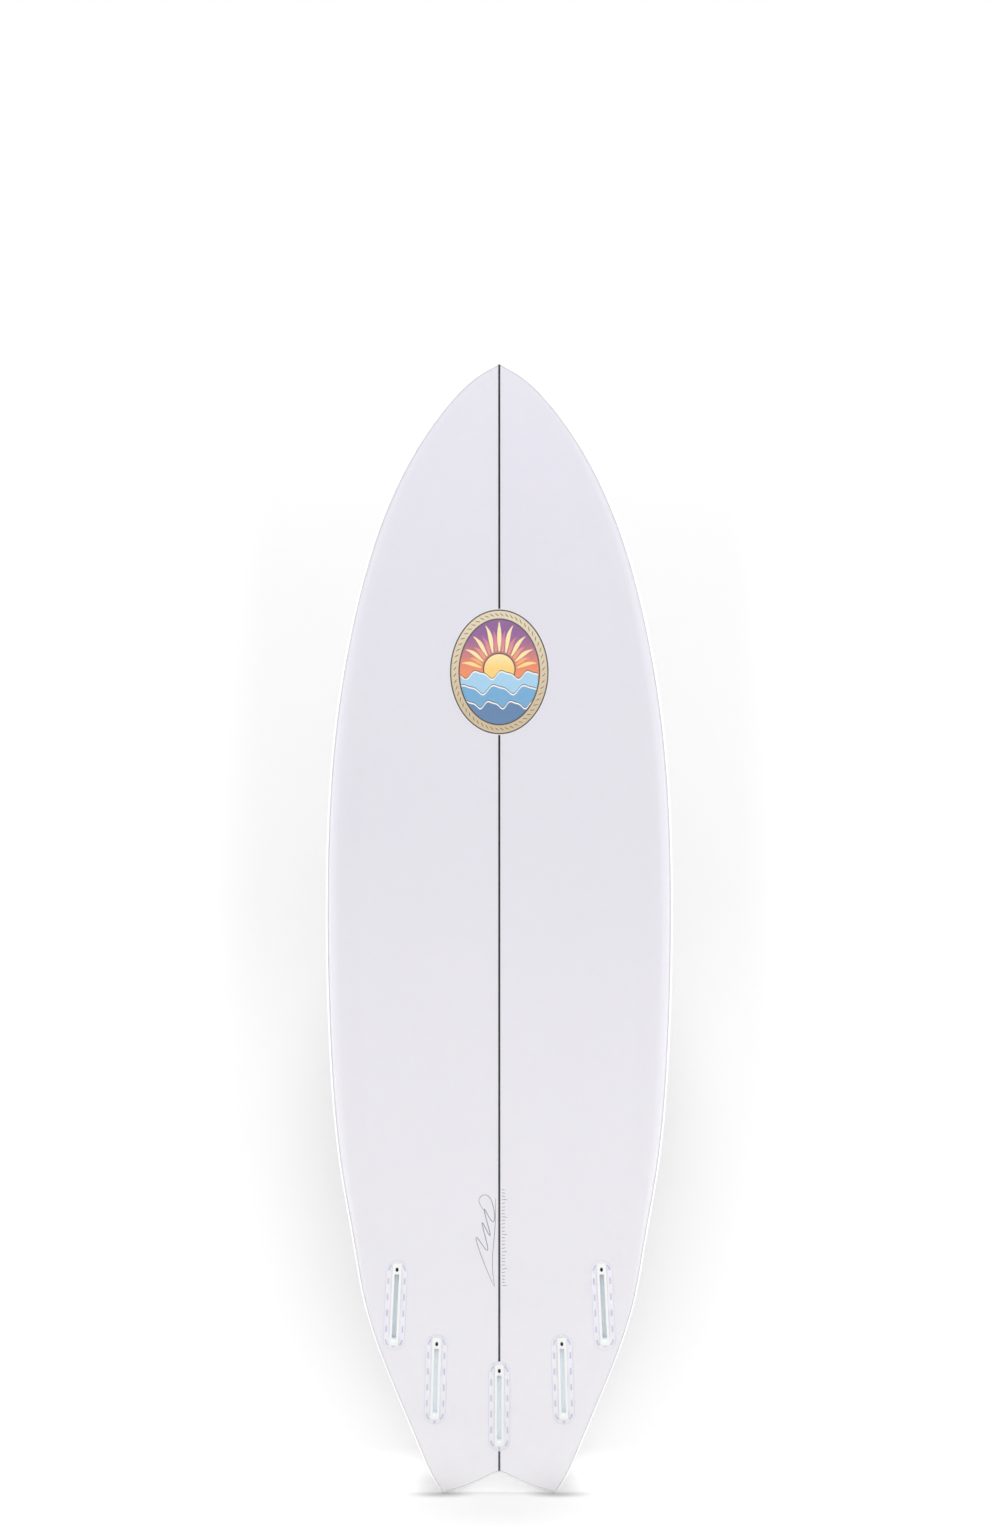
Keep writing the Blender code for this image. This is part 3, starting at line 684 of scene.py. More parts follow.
def plastic(name, colour, roughness, depth=0.0, grain=0.06):
    n = Nodes(name)
    at = n.object_coordinates()
    cloud = n.noise(at, 40.0, 3.0)
    fine = n.noise(at, 2600.0, 2.0, 0.6)
    tone = n.mix(n.spread(cloud, 0.3, 0.7, 0.0, grain), colour, tuple(c * 0.86 for c in colour))
    rough = n.spread(cloud, 0.3, 0.7, roughness - 0.05, roughness + 0.07, "LINEAR")
    return n.done(n.principled(tone, rough, n.bump(fine, 0.18, 0.0001), Subsurface_Weight=depth, Subsurface_Scale=0.003))


def metal(name, colour, roughness, brushed=(1, 1, 1)):
    n = Nodes(name)
    streak = n.noise(n.object_coordinates(tuple(500 * b for b in brushed)), 3.0, 5.0, 0.6)
    dirt = n.noise(n.object_coordinates(), 900.0, 3.0)
    tone = n.mix(n.spread(dirt, 0.45, 0.75, 0.0, 0.4), colour, tuple(c * 0.6 for c in colour))
    rough = n.spread(streak, 0.3, 0.7, roughness - 0.08, roughness + 0.10, "LINEAR")
    return n.done(n.principled(tone, rough, n.bump(streak, 0.2, 0.00005), Metallic=1.0))


def ink(name, colour, second=None, low=0.0, high=1.0):
    """Printed ink on rice paper, with a fine halftone and, when there is a second colour, a fade up the board."""
    n = Nodes(name)
    at = n.object_coordinates()
    parts = n.new("SeparateXYZ")
    n.link(at, parts.inputs[0])
    tone = colour
    if second is not None:
        tone = n.mix(n.spread(parts.outputs["Z"], low, high, 0.0, 1.0), colour, second)
    dots = n.new("TexVoronoi", Scale=1500.0)
    n.link(at, dots.inputs["Vector"])
    fibre = n.noise(at, 350.0, 4.0, 0.7)
    tone = n.mix(n.spread(dots.outputs["Distance"], 0.25, 0.6, 0.0, 0.12), tone, (0.9, 0.88, 0.86))
    tone = n.mix(n.spread(fibre, 0.45, 0.75, 0.0, 0.10), tone, (0.05, 0.04, 0.05))
    return n.done(n.principled(tone, 0.75, n.bump(fibre, 0.1, 0.0001)))


FOAM = foam_material()
WOOD = stringer_material()
BOTTOM_GLASS = glass_material("bottom_laminate", LAP, (0.985, 0.985, 0.990), PAINTED_RIM_FROM, PAINTED_RIM_TO)
DECK_GLASS = glass_material("deck_laminate", LAP + 0.004, (0.985, 0.985, 0.990), 0.0002, 0.0011)
BONDED = clear_material("laminate_bond")
BOX_PLASTIC = plastic("fin_box_plastic", (0.770, 0.780, 0.772), 0.36, 0.0, 0.03)
FLANGE_PLASTIC = plastic("fin_box_flange_plastic", (0.812, 0.806, 0.838), 0.45, 0.0, 0.06)
# The slot's inside is the box plastic drawn in a pale blue tint: painted shade.
SLOT_SHADE_PLASTIC = plastic("fin_box_slot_painted_shade", (0.925, 0.965, 0.998), 0.5, 0.0, 0.01)
# The bore's walls are drawn near black: painted shade in the screw hole.
BORE_PAINTED_SHADE = plastic("fin_box_bore_painted_shade", (0.10, 0.10, 0.105), 0.5, 0.0, 0.2)
MARK_PLASTIC = plastic("fin_box_mark", (0.46, 0.45, 0.55), 0.5)
RESIN = plastic("fin_box_resin", (0.57, 0.555, 0.745), 0.30, 0.0)
FILLET = plastic("fin_box_fillet_resin", (0.70, 0.69, 0.76), 0.35, 0.0)
PLUG_PLASTIC = plastic("leash_plug_plastic", (0.86, 0.87, 0.88), 0.30, 0.15)
# Dark steel, drawn darker still as painted shade for the screw's deep hole.
SCREW_STEEL_AND_SHADE = metal("screw_steel", (0.10, 0.10, 0.105), 0.42)
PIN_STEEL = metal("pin_steel", (0.66, 0.66, 0.67), 0.26, (0.05, 1, 1))

# ---------------------------------------------------------------- glass shells


def shell(name, part, finish, depth):
    bm, part_of, inward = board_surface(FINE_SEAM)
    made = bmesh.new()
    carry = made.verts.layers.float.new("rail_distance")
    outer, inner = {}, {}
    for face in bm.faces:
        if face[part_of] != part:
            continue
        for v in face.verts:
            if v not in outer:
                outer[v] = made.verts.new(v.co)
                inner[v] = made.verts.new(inner_point(v, depth))
                outer[v][carry] = inner[v][carry] = v[inward]
        made.faces.new([outer[v] for v in face.verts])
        made.faces.new([inner[v] for v in reversed(face.verts)]).material_index = 1
    for edge in bm.edges:
        if sum(face[part_of] == part for face in edge.link_faces) == 1:
            a, b = edge.verts
            made.faces.new((outer[a], outer[b], inner[b], inner[a]))
    bm.free()
    return add(name, smooth(mesh_of(name, made), 50), finish)


bottom_shell = shell("bottom_lamination", BOTTOM, [BOTTOM_GLASS, BONDED], GLASS)
deck_shell = shell("deck_lamination", DECK, [DECK_GLASS, BONDED], GLASS)

# ---------------------------------------------------------------- foam halves and stringer


def inset_grid(depth):
    """Section lines of the right side, moved in by depth: bottom middle to deck middle."""
    bm, _, _ = board_surface(0.0)
    tree = kdtree.KDTree(len(bm.verts))
    moved = []
    for v in bm.verts:
        tree.insert(v.co, v.index if v.index >= 0 else len(moved))
        moved.append(inner_point(v, depth))
    bm.verts.index_update()
    tree = kdtree.KDTree(len(bm.verts))
    for i, v in enumerate(bm.verts):
        tree.insert(v.co, i)
    tree.balance()
    grid = []
    for row in ROWS:
        low, high = section(row, FLATS, BOTTOM_TURNS, DECK_TURNS, 0.0)
        line = []
        for x, y, z, _ in low + high[1:]:
            _, i, _ = tree.find((x, y + CENTRE_Y, z))
            line.append(moved[i].copy())
        grid.append(line)
    bm.free()
    return grid


def half_solid(name, grid, side, plane):
    """One side of the inset board, closed with a flat face at x = plane."""
    bm = bmesh.new()
    lines = [[bm.verts.new((side * max(p.x, plane), p.y, p.z)) for p in line] for line in grid]
    for a, b in zip(lines, lines[1:]):
        for j in range(len(a) - 1):
            bm.faces.new((a[j], b[j], b[j + 1], a[j + 1]))
    bmesh.ops.remove_doubles(bm, verts=bm.verts, dist=2e-6)
    flat = [f for f in bm.faces if all(abs(abs(v.co.x) - plane) < 1e-7 for v in f.verts)]
    bmesh.ops.delete(bm, geom=flat, context="FACES")
    loose = [e for e in bm.edges if not e.link_faces]
    bmesh.ops.delete(bm, geom=loose, context="EDGES")
    border = [e for e in bm.edges if len(e.link_faces) == 1]
    bmesh.ops.holes_fill(bm, edges=border, sides=0)
    bmesh.ops.triangulate(bm, faces=[f for f in bm.faces if len(f.verts) > 4])
    return mesh_of(name, bm)


grid = inset_grid(GLASS + GAP)
foam = {
    "left": add("foam_half_left", half_solid("foam_half_left", grid, -1, STRINGER_HALF + 0.00008), FOAM),
    "right": add("foam_half_right", half_solid("foam_half_right", grid, 1, STRINGER_HALF + 0.00008), FOAM),
}


def stringer_mesh():
    """The board's middle profile as a thin strip."""
    loop = [line[0] for line in grid]
    spine = [i for i, row in enumerate(ROWS) if row[1][0] == 0.0]
    upper = [i for i in spine if i < len(ROWS) - 1]
    loop = [grid[i][0] for i in upper] + list(grid[-1][1:-1]) + [grid[i][-1] for i in reversed(upper)] + list(reversed(grid[0][1:-1]))
    bm = bmesh.new()
    sides = []
    for x in (-STRINGER_HALF, STRINGER_HALF):
        sides.append([bm.verts.new((x, p.y, p.z)) for p in loop])
    for k in range(len(loop)):
        j = (k + 1) % len(loop)
        bm.faces.new((sides[0][k], sides[0][j], sides[1][j], sides[1][k]))
    for side in sides:
        bm.faces.new(side)
    bmesh.ops.remove_doubles(bm, verts=bm.verts, dist=1e-6)
    bmesh.ops.triangulate(bm, faces=[f for f in bm.faces if len(f.verts) > 4])
    return mesh_of("stringer_strip", bm)


strip = add("stringer_strip", stringer_mesh(), WOOD)

# ---------------------------------------------------------------- fin boxes


def surface_frame(surface, x, z, lean=0.0):
    e = 0.004
    dx = (surface(x + e, z) - surface(x - e, z)) / (2 * e)
    dz = (surface(x, z + e) - surface(x, z - e)) / (2 * e)
    out = Vector((dx, -1.0, dz)).normalized()
    if surface is deck_y:
        out = -out
    lean = math.radians(lean)
    along = Vector((math.sin(lean), 0.0, math.cos(lean)))
    along = (along - out * along.dot(out)).normalized()
    across = along.cross(out)
    place = Matrix((across, along, out)).transposed().to_4x4()
    place.translation = Vector((x, surface(x, z) + CENTRE_Y, z))
    return place


screw_axis = Matrix.Translation((0, SCREW_ENTRY, 0)) @ Matrix.Rotation(math.pi - SCREW_ANGLE, 4, "X")
ARC_CENTRE = FLANGE_HALF_LENGTH - FLANGE_HALF_WIDTH


def perforations(grow):
    """Outlines of the flange's slots: four along each side and a curved one at each corner."""
    outlines = []
    half = PERF_HALF_WIDTH - grow
    for side in (-1, 1):
        for i in range(4):
            y = (i - 1.5) * PERF_PITCH
            outlines.append([(side * PERF_X + px, y + py) for px, py in round_rect(half, -PERF_HALF_LENGTH + grow, PERF_HALF_LENGTH - grow, half * 0.98, 5)])
        for end in (-1, 1):
            outline = []
            for radius, angles in ((PERF_X + half, range(2, 47, 4)), (PERF_X - half, range(46, 1, -4))):
                for angle in angles:
                    a = math.radians(angle)
                    outline.append((side * radius * math.cos(a), end * (ARC_CENTRE + radius * math.sin(a))))
            outlines.append(outline if side * end > 0 else outline[::-1])
    return outlines


def box_mesh(name, slot_depth):
    body = add(
        name + "_form",
        flat_solid(name, [round_rect(BODY_HALF_WIDTH, BODY_TAIL, BODY_NOSE, BODY_CORNER, 8)], -slot_depth - SLOT_FLOOR, 0.0),
        group=helpers,
    )
    flange = flat_solid(
        "flange",
        [round_rect(FLANGE_HALF_WIDTH, -FLANGE_HALF_LENGTH, FLANGE_HALF_LENGTH, FLANGE_HALF_WIDTH, 24), *perforations(0.0)],
        FLANGE_TOP - FLANGE_THICK, FLANGE_TOP,
    )
    slot = flat_solid("slot", [round_rect(SLOT_HALF_WIDTH, SLOT_TAIL, SLOT_NOSE, 0.0006, 4)], -slot_depth, 0.01)
    release = flat_solid("release", [round_rect(0.0030, SLOT_TAIL - 0.0048, SLOT_TAIL - 0.0017, 0.0006, 4)], -0.0020, 0.01)
    bore = cylinder("bore", BORE_RADIUS, -0.006, 0.0135, 40)
    bore.transform(screw_axis)
    for operation, mesh in (("UNION", flange), ("DIFFERENCE", slot), ("DIFFERENCE", release), ("DIFFERENCE", bore)):
        tool = add("tool", mesh, group=helpers)
        boolean(body, tool, operation)
        discard(tool)
    mesh = bevelled(body.data, 0.00022, 2, 50)
    discard(body)
    mesh.materials.clear()
    for one in (BOX_PLASTIC, SLOT_SHADE_PLASTIC, FLANGE_PLASTIC, BORE_PAINTED_SHADE):
        mesh.materials.append(one)
    # Faces inside the slot and the release pocket take a blue-tinted copy of the plastic as painted shade, and the
    # screw's bore is painted dark as shade.
    to_axis = screw_axis.inverted()
    for face in mesh.polygons:
        c = face.center
        b = to_axis @ c
        if math.hypot(b.x, b.y) < BORE_RADIUS + 0.00002 and c.z < -0.0009 and b.z > 0:
            face.material_index = 3
            continue
        within = abs(c.x) < SLOT_HALF_WIDTH + 1e-5 and SLOT_TAIL - 0.0050 < c.y < SLOT_NOSE + 1e-5 and c.z < -0.0004
        if within and c.z > -slot_depth - 0.0002:
            face.material_index = 1
        elif c.z < FLANGE_TOP + 0.00001 and c.z > FLANGE_TOP - FLANGE_THICK and max(abs(c.x) - BODY_HALF_WIDTH, c.y - BODY_NOSE, BODY_TAIL - c.y) > -0.0001:
            face.material_index = 2
    return smooth(mesh, 30)


def screw_mesh():
    """A set screw with a hexagonal socket, a cup point and a real helical thread."""
    steps, pitch = 36, 0.0008
    low, high = SCREW_HEAD, SCREW_TIP
    turns = (high - low) / pitch
    rows = int(turns * steps) + 1
    bm = bmesh.new()
    rings = []
    across = 6
    for k in range(rows):
        a = 2 * math.pi * k / steps
        z0 = low + (high - low) * k / (rows - 1)
        ring = []
        for j in range(across + 1):
            t = j / across
            z = z0 + (t - 0.5) * pitch
            crest = 1 - abs(2 * t - 1)
            fade = smooth_step((z0 - low) / 0.0006) * smooth_step((high - z0) / 0.0008)
            r = SCREW_RADIUS - 0.00030 + 0.00028 * crest * fade
            z = min(max(z, low), high)
            ring.append(bm.verts.new((r * math.cos(a), r * math.sin(a), z)))
        rings.append(ring)
    for a, b in zip(rings, rings[1:]):
        for j in range(across):
            bm.faces.new((a[j], b[j], b[j + 1], a[j + 1]))
    thread = mesh_of("thread", bm)
    core = add("screw_form", cylinder("screw_form", SCREW_RADIUS - 0.00031, low, high, 36), group=helpers)
    socket = add("socket", cylinder("socket", 0.00125, low - 0.001, low + 0.0024, 6), group=helpers)
    cup = add("cup_point", lathe("cup_point", [(0, high - 0.0007), (0.0011, high + 0.0005), (0, high + 0.0005)], 24), group=helpers)
    boolean(core, socket)
    boolean(core, cup)
    form = bevelled(core.data, 0.00012, 2, 40)
    discard(core, socket, cup)
    both = joined("fin_clamp_screw", [(form, Matrix.Identity(4)), (thread, Matrix.Identity(4))])
    return smooth(both, 35)


def cross_mark(thin):
    """A small moulded cross on the flange."""
    bars = []
    for turn in (0.6, -0.6):
        bar = block("bar", (-0.00035, -0.0028, 0), (0.00035, 0.0028, thin))
        bars.append((bar, Matrix.Rotation(turn, 4, "Z")))
    return bars


def arc_mark(thin):
    outline = []
    for radius, angles in ((0.0030, range(20, 161, 10)), (0.0022, range(160, 19, -10))):
        for angle in angles:
            a = math.radians(angle)
            outline.append((radius * math.cos(a), radius * math.sin(a) * 0.8))
    return [(flat_solid("arc", [outline], 0, thin), Matrix.Identity(4))]


box_meshes = {depth: box_mesh("fin_box", depth) for depth in sorted({p[4] for p in BOX_PLACES})}
screw_form = screw_mesh()
ring = lambda grow: round_rect(FLANGE_HALF_WIDTH + grow, -FLANGE_HALF_LENGTH - grow, FLANGE_HALF_LENGTH + grow, FLANGE_HALF_WIDTH + grow, 24)
fillet_form = flat_solid("flange_fillet", [ring(0.00015), ring(-0.00065)[::-1]], FLANGE_TOP + 0.00002, FLANGE_TOP + 0.00045)
resin_form = joined("flange_resin", [(flat_solid("plug", [outline], FLANGE_TOP - FLANGE_THICK, FLANGE_TOP - 0.00010), Matrix.Identity(4)) for outline in perforations(0.00012)])

body_cuts, foam_cuts = [], {"left": [], "right": [], "strip": []}
for name, x, z, lean, slot_depth in BOX_PLACES:
    place = surface_frame(bottom_y, x, z, lean) @ Matrix.Translation((0, 0, -BOX_INSET))
    one = add("fin_box_" + name + "_fine", box_meshes[slot_depth].copy(), None, place)
    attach(one, "board")
    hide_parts("fin_box_" + name)
    screw = add("fin_screw_" + name + "_fine", screw_form.copy(), SCREW_STEEL_AND_SHADE, place @ screw_axis)
    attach(screw, "fin_screw_" + name)
    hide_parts("fin_screw_" + name)
    resin = add("flange_resin_" + name, resin_form.copy(), RESIN, place)
    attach(resin, "board")
    fillet = add("flange_fillet_" + name, fillet_form.copy(), FILLET, place)
    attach(fillet, "board")
    mark = joined("mark", arc_mark(0.00025) if name.startswith("front") else cross_mark(0.00025))
    spot = place @ Matrix.Translation((0, -0.0655, FLANGE_TOP + 0.00002))
    mark = add("flange_mark_" + name, mark, MARK_PLASTIC, spot)
    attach(mark, "board")
    body_cuts.append((flat_solid("b", [round_rect(BODY_HALF_WIDTH + 0.00003, BODY_TAIL - 0.00003, BODY_NOSE + 0.00003, BODY_CORNER + 0.00003, 8)], -slot_depth - SLOT_FLOOR - GAP, 0.004), place))
    pocket = [
        (flat_solid("b", [round_rect(BODY_HALF_WIDTH + GAP, BODY_TAIL - GAP, BODY_NOSE + GAP, BODY_CORNER, 8)], -slot_depth - SLOT_FLOOR - GAP, 0.004), place),
        (flat_solid("f", [round_rect(FLANGE_HALF_WIDTH + 0.0002, -FLANGE_HALF_LENGTH - 0.0002, FLANGE_HALF_LENGTH + 0.0002, FLANGE_HALF_WIDTH + 0.0002, 24)], FLANGE_TOP - FLANGE_THICK - 0.0001, 0.004), place),
    ]
    for key, touched in (("left", x < 0.01), ("right", x > -0.01), ("strip", x == 0)):
        if touched:
            foam_cuts[key].append(pocket)

cutter = add("body_cutter", joined("body_cutter", body_cuts), group=helpers)
cut_shell(bottom_shell, cutter)
discard(cutter)

# ---------------------------------------------------------------- leash plug

plug_place = surface_frame(deck_y, PLUG_X, PLUG_Z)
plug_cut = lambda grow: cylinder("plug_cut", CUP_RADIUS + grow, -CUP_DEPTH - GAP, 0.006, 96)
profile = [(0.0, CUP_FLOOR - CUP_DEPTH)]
for i in range(7):
    a = math.pi / 2 * i / 6
    profile.append((CUP_INNER - 0.0015 + 0.0015 * math.sin(a), CUP_FLOOR - CUP_DEPTH + 0.0015 * (1 - math.cos(a))))
profile.append((CUP_INNER, -0.0008))
for i in range(5):
    a = math.pi / 2 * i / 4
    profile.append((CUP_INNER + 0.0006 * (1 - math.cos(a)), -0.0006 + 0.0006 * math.sin(a)))
for i in range(5):
    a = math.pi / 2 * i / 4
    profile.append((CUP_RADIUS - 0.0004 + 0.0004 * math.sin(a), -0.0004 + 0.0004 * math.cos(a)))
profile += [(CUP_RADIUS, 0.001 - CUP_DEPTH), (CUP_RADIUS - 0.001, -CUP_DEPTH), (0.0, -CUP_DEPTH)]
cup = add("leash_cup_fine", lathe("leash_cup_fine", profile, 96), PLUG_PLASTIC, plug_place)
pin_turn = Matrix.Translation((0, 0, -PIN_DEPTH)) @ Matrix.Rotation(math.pi / 2, 4, "Y")
seat = add("pin_seat", cylinder("pin_seat", PIN_RADIUS + 0.00005, -PIN_HALF_LENGTH - GAP, PIN_HALF_LENGTH + GAP, 36), None, plug_place @ pin_turn, helpers)
boolean(cup, seat)
discard(seat)
smooth(cup.data, 35)
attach(cup, "board")
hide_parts("leash_plug_cup")
pin = add("leash_pin_fine", bevelled(cylinder("leash_pin_fine", PIN_RADIUS, -PIN_HALF_LENGTH, PIN_HALF_LENGTH, 36), 0.0003, 3), PIN_STEEL, plug_place @ pin_turn)
smooth(pin.data, 40)
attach(pin, "board")
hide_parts("leash_plug_pin")

tool = add("plug_cut", plug_cut(0.00012), None, plug_place, helpers)
cut_shell(deck_shell, tool)
discard(tool)
foam_cuts["right"].append([(plug_cut(GAP), plug_place)])

for key, target in (("left", foam["left"]), ("right", foam["right"]), ("strip", strip)):
    for pocket in foam_cuts[key]:
        for mesh, place in pocket:
            tool = add("pocket", mesh.copy(), None, place, helpers)
            boolean(target, tool)
            discard(tool)
    smooth(target.data, 40)

for piece, node, slot in (
    (bottom_shell, "bottom_glass", "bottom_glass"), (deck_shell, "deck_glass", "deck_glass"),
    (foam["left"], "foam_left", "foam"), (foam["right"], "foam_right", "foam"), (strip, "stringer", "stringer"),
):
    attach(piece, "board")
    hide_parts(node)

# ---------------------------------------------------------------- decal: a generic sun over waves


def drape(name, outlines, depth, finish, thin=0.00004, longest=0.007, middle=(0.0, 0.0)):
    """Flat artwork laid along the bottom at a depth below its surface."""
    mesh = flat_solid(name, outlines, -thin / 2, thin / 2)
    bm = bmesh.new()
    bm.from_mesh(mesh)
    bpy.data.meshes.remove(mesh)
    bmesh.ops.triangulate(bm, faces=bm.faces)
    for _ in range(12):
        long_ones = [e for e in bm.edges if e.calc_length() > longest]
        if not long_ones:
            break
        bmesh.ops.subdivide_edges(bm, edges=long_ones, cuts=1)
        bmesh.ops.triangulate(bm, faces=[f for f in bm.faces if len(f.verts) > 3])
    for v in bm.verts:
        x, z = v.co.x + middle[0], v.co.y + middle[1]
        v.co = (x, bottom_y(x, z) + CENTRE_Y + depth - v.co.z, z)
    made = add(name, mesh_of(name, bm), finish)
    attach(made, "board")
    return made


MID = (0.0, DECAL_Z)
A, B = 0.0750, 0.0950


def oval(scale_x, scale_z, count=120):
    return [(A * scale_x * math.cos(2 * math.pi * k / count), B * scale_z * math.sin(2 * math.pi * k / count)) for k in range(count)]


INK_BLACK = ink("ink_black", (0.020, 0.016, 0.020))
INK_TAN = ink("ink_tan", (0.60, 0.46, 0.27), (0.74, 0.62, 0.42), DECAL_Z - 0.09, DECAL_Z + 0.09)
INK_SKY = ink("ink_sky", (0.86, 0.22, 0.06), (0.22, 0.05, 0.26), DECAL_Z - 0.005, DECAL_Z + 0.062)
INK_RAY = ink("ink_ray", (0.93, 0.42, 0.08), (0.55, 0.10, 0.30), DECAL_Z + 0.0, DECAL_Z + 0.065)
INK_SUN = ink("ink_sun", (0.95, 0.62, 0.14), (0.96, 0.78, 0.36), DECAL_Z, DECAL_Z + 0.03)
INK_SEA = [ink("ink_sea_dark", (0.05, 0.17, 0.36)), ink("ink_sea_mid", (0.11, 0.36, 0.62)), ink("ink_sea_light", (0.33, 0.60, 0.80))]
INK_FOAM = ink("ink_foam", (0.88, 0.88, 0.86))
PAPER = ink("rice_paper", (0.812, 0.802, 0.838))


def layer(name, outlines, level, finish):
    piece = drape("decal_" + name, outlines, 0.00104 - level * 0.000045, finish, 0.00002, middle=MID)


paper = drape("decal_rice_paper", [oval(1.0133, 1.0105)], 0.00108, PAPER, 0.00002, middle=MID)
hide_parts("decal_laminate")

layer("rim_black", [oval(1.0, 1.0), oval(0.80, 0.835)[::-1]], 0, INK_BLACK)
layer("rim_tan", [oval(0.972, 0.978), oval(0.828, 0.857)[::-1]], 1, INK_TAN)
layer("sky", [oval(0.80, 0.835)], 0, INK_SKY)

# Rope marks round the rim.
marks = []
for k in range(56):
    a = 2 * math.pi * (k + 0.5) / 56
    x, z = A * 0.90 * math.cos(a), B * 0.918 * math.sin(a)
    lean = a + 0.9
    long, wide = 0.0042, 0.0006
    mark = [(x + long * u * math.cos(lean) - wide * v * math.sin(lean), z + long * u * math.sin(lean) + wide * v * math.cos(lean))
            for u, v in ((-1, -0.3), (-0.3, -1), (0.5, -0.8), (1, 0), (0.5, 0.8), (-0.3, 1))]
    marks.append(mark)
layer("rope", marks, 2, INK_BLACK)

# Sun rays, each a curved wedge from the sun's rim out to the sky's edge.
SUN = (0.0, 0.004)
SUN_R = 0.0235


def sky_edge(angle, share):
    """Distance from the sun's middle to the sky's edge, times a share."""
    lo, hi = 0.0, 0.2
    for _ in range(40):
        r = (lo + hi) / 2
        x, z = SUN[0] + r * math.cos(angle), SUN[1] + r * math.sin(angle)
        if (x / (A * 0.80)) ** 2 + (z / (B * 0.835)) ** 2 < share**2:
            lo = r
        else:
            hi = r
    return lo


RAYS = 17
rays = ([], [])
for k in range(RAYS):
    a0 = math.pi * (k + 0.10) / RAYS
    a1 = math.pi * (k + 0.90) / RAYS
    mid = (a0 + a1) / 2
    lean = math.cos(mid) / max(0.35, abs(math.cos(mid)))
    share = 0.955 if k % 2 == 0 else 0.80
    out = sky_edge(mid, share)
    outline = []
    for i in range(9):
        t = i / 8
        r = SUN_R * 1.16 + (out - SUN_R * 1.16) * t
        w = (a1 - a0) / 2 * (0.55 + 0.45 * math.sin(math.pi * min(1, t * 1.1))) * (1 - 0.75 * t**3)
        swing = 0.10 * math.sin(2.4 * t) * lean
        outline.append((SUN[0] + r * math.cos(mid + w + swing), SUN[1] + r * math.sin(mid + w + swing)))
    for i in range(8, -1, -1):
        t = i / 8
        r = SUN_R * 1.16 + (out - SUN_R * 1.16) * t
        w = (a1 - a0) / 2 * (0.55 + 0.45 * math.sin(math.pi * min(1, t * 1.1))) * (1 - 0.75 * t**3)
        swing = 0.10 * math.sin(2.4 * t) * lean
        outline.append((SUN[0] + r * math.cos(mid - w + swing), SUN[1] + r * math.sin(mid - w + swing)))
    rays[k % 2].append(outline)
layer("long_rays", rays[0], 1, INK_SUN)
layer("short_rays", rays[1], 1, INK_RAY)

disc = lambda r: [(SUN[0] + r * math.cos(2 * math.pi * k / 64), SUN[1] + r * math.sin(2 * math.pi * k / 64)) for k in range(64)]
layer("sun_line", [disc(SUN_R * 1.06)], 2, INK_BLACK)
layer("sun_disc", [disc(SUN_R * 0.98)], 3, INK_SUN)


def wave_line(level, count=90):
    """Height of the top of a band of sea, with rolling crests."""
    base, size, phase, length = ((-0.004, 0.0052, 0.4, 0.040), (-0.026, 0.0060, 2.1, 0.046), (-0.049, 0.0048, 4.0, 0.034))[level]
    points = []
    for k in range(count + 1):
        x = -A * 0.80 + 2 * A * 0.80 * k / count
        u = 2 * math.pi * x / length + phase
        points.append((x, base + size * math.sin(u) + 0.35 * size * math.sin(2 * u + 0.7)))
    return points


def sea_band(level, lift, share):
    """The sea below a wave line, inside the sky's oval."""
    ex, ez = A * share, B * share * 0.835 / 0.80
    top = []
    for x, z in wave_line(level):
        if abs(x) < ex * 0.999:
            rim = ez * math.sqrt(1 - (x / ex) ** 2)
            top.append((x, max(-rim, min(rim, z + lift))))
    bottom = []
    for k in range(61):
        x = top[-1][0] + (top[0][0] - top[-1][0]) * k / 60
        rim = ez * math.sqrt(max(0.0, 1 - (x / ex) ** 2))
        bottom.append((x, -rim))
    clean = [top[0]]
    for p in top[1:] + bottom:
        if math.dist(p, clean[-1]) > 2e-5:
            clean.append(p)
    if math.dist(clean[0], clean[-1]) < 2e-5:
        clean.pop()
    return clean


for level in range(3):
    layer(f"sea_line_{level}", [sea_band(level, 0.0014, 0.80)], 4 + 3 * level, INK_BLACK)
    layer(f"sea_foam_{level}", [sea_band(level, 0.0002, 0.80)], 5 + 3 * level, INK_FOAM)
    layer(f"sea_{level}", [sea_band(level, -0.0021, 0.80)], 6 + 3 * level, INK_SEA[2 - level])

# ---------------------------------------------------------------- pencil marks on the foam


def ribbon(name, lines, width, depth, finish):
    """Thin drawn lines along the bottom, at a depth below its surface."""
    bm = bmesh.new()
    for points in lines:
        sides = [[], []]
        for i, (x, z) in enumerate(points):
            ax, az = points[max(0, i - 1)]
            bx, bz = points[min(len(points) - 1, i + 1)]
            run = math.hypot(bx - ax, bz - az) or 1.0
            taper = 0.35 + 0.65 * math.sin(math.pi * i / (len(points) - 1)) ** 0.5
            nx, nz = -(bz - az) / run * width / 2 * taper, (bx - ax) / run * width / 2 * taper
            for side, s in zip(sides, (1, -1)):
                px, pz = x + s * nx, z + s * nz
                side.append(bm.verts.new((px, bottom_y(px, pz) + CENTRE_Y + depth, pz)))
        for i in range(len(points) - 1):
            bm.faces.new((sides[0][i], sides[0][i + 1], sides[1][i + 1], sides[1][i]))
    mesh = mesh_of(name, bm)
    made = add(name, mesh, finish)
    thick = made.modifiers.new("line", "SOLIDIFY")
    thick.thickness = 0.00003
    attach(made, "board")
    return made


def pencil_material():
    n = Nodes("pencil")
    at = n.object_coordinates()
    grain = n.noise(at, 900.0, 3.0, 0.7)
    clear = n.new("BsdfTransparent")
    lead = n.new("BsdfDiffuse")
    lead.inputs["Color"].default_value = (0.33, 0.31, 0.38, 1)
    mix = n.new("MixShader")
    n.link(n.spread(grain, 0.35, 0.65, 0.25, 0.70), mix.inputs[0])
    n.link(clear.outputs[0], mix.inputs[1])
    n.link(lead.outputs[0], mix.inputs[2])
    return n.done(mix.outputs[0])


PENCIL = pencil_material()


def drawn(points, count):
    """A smooth line through points."""
    return [tuple(p) for p in cubic_path(points, count)]


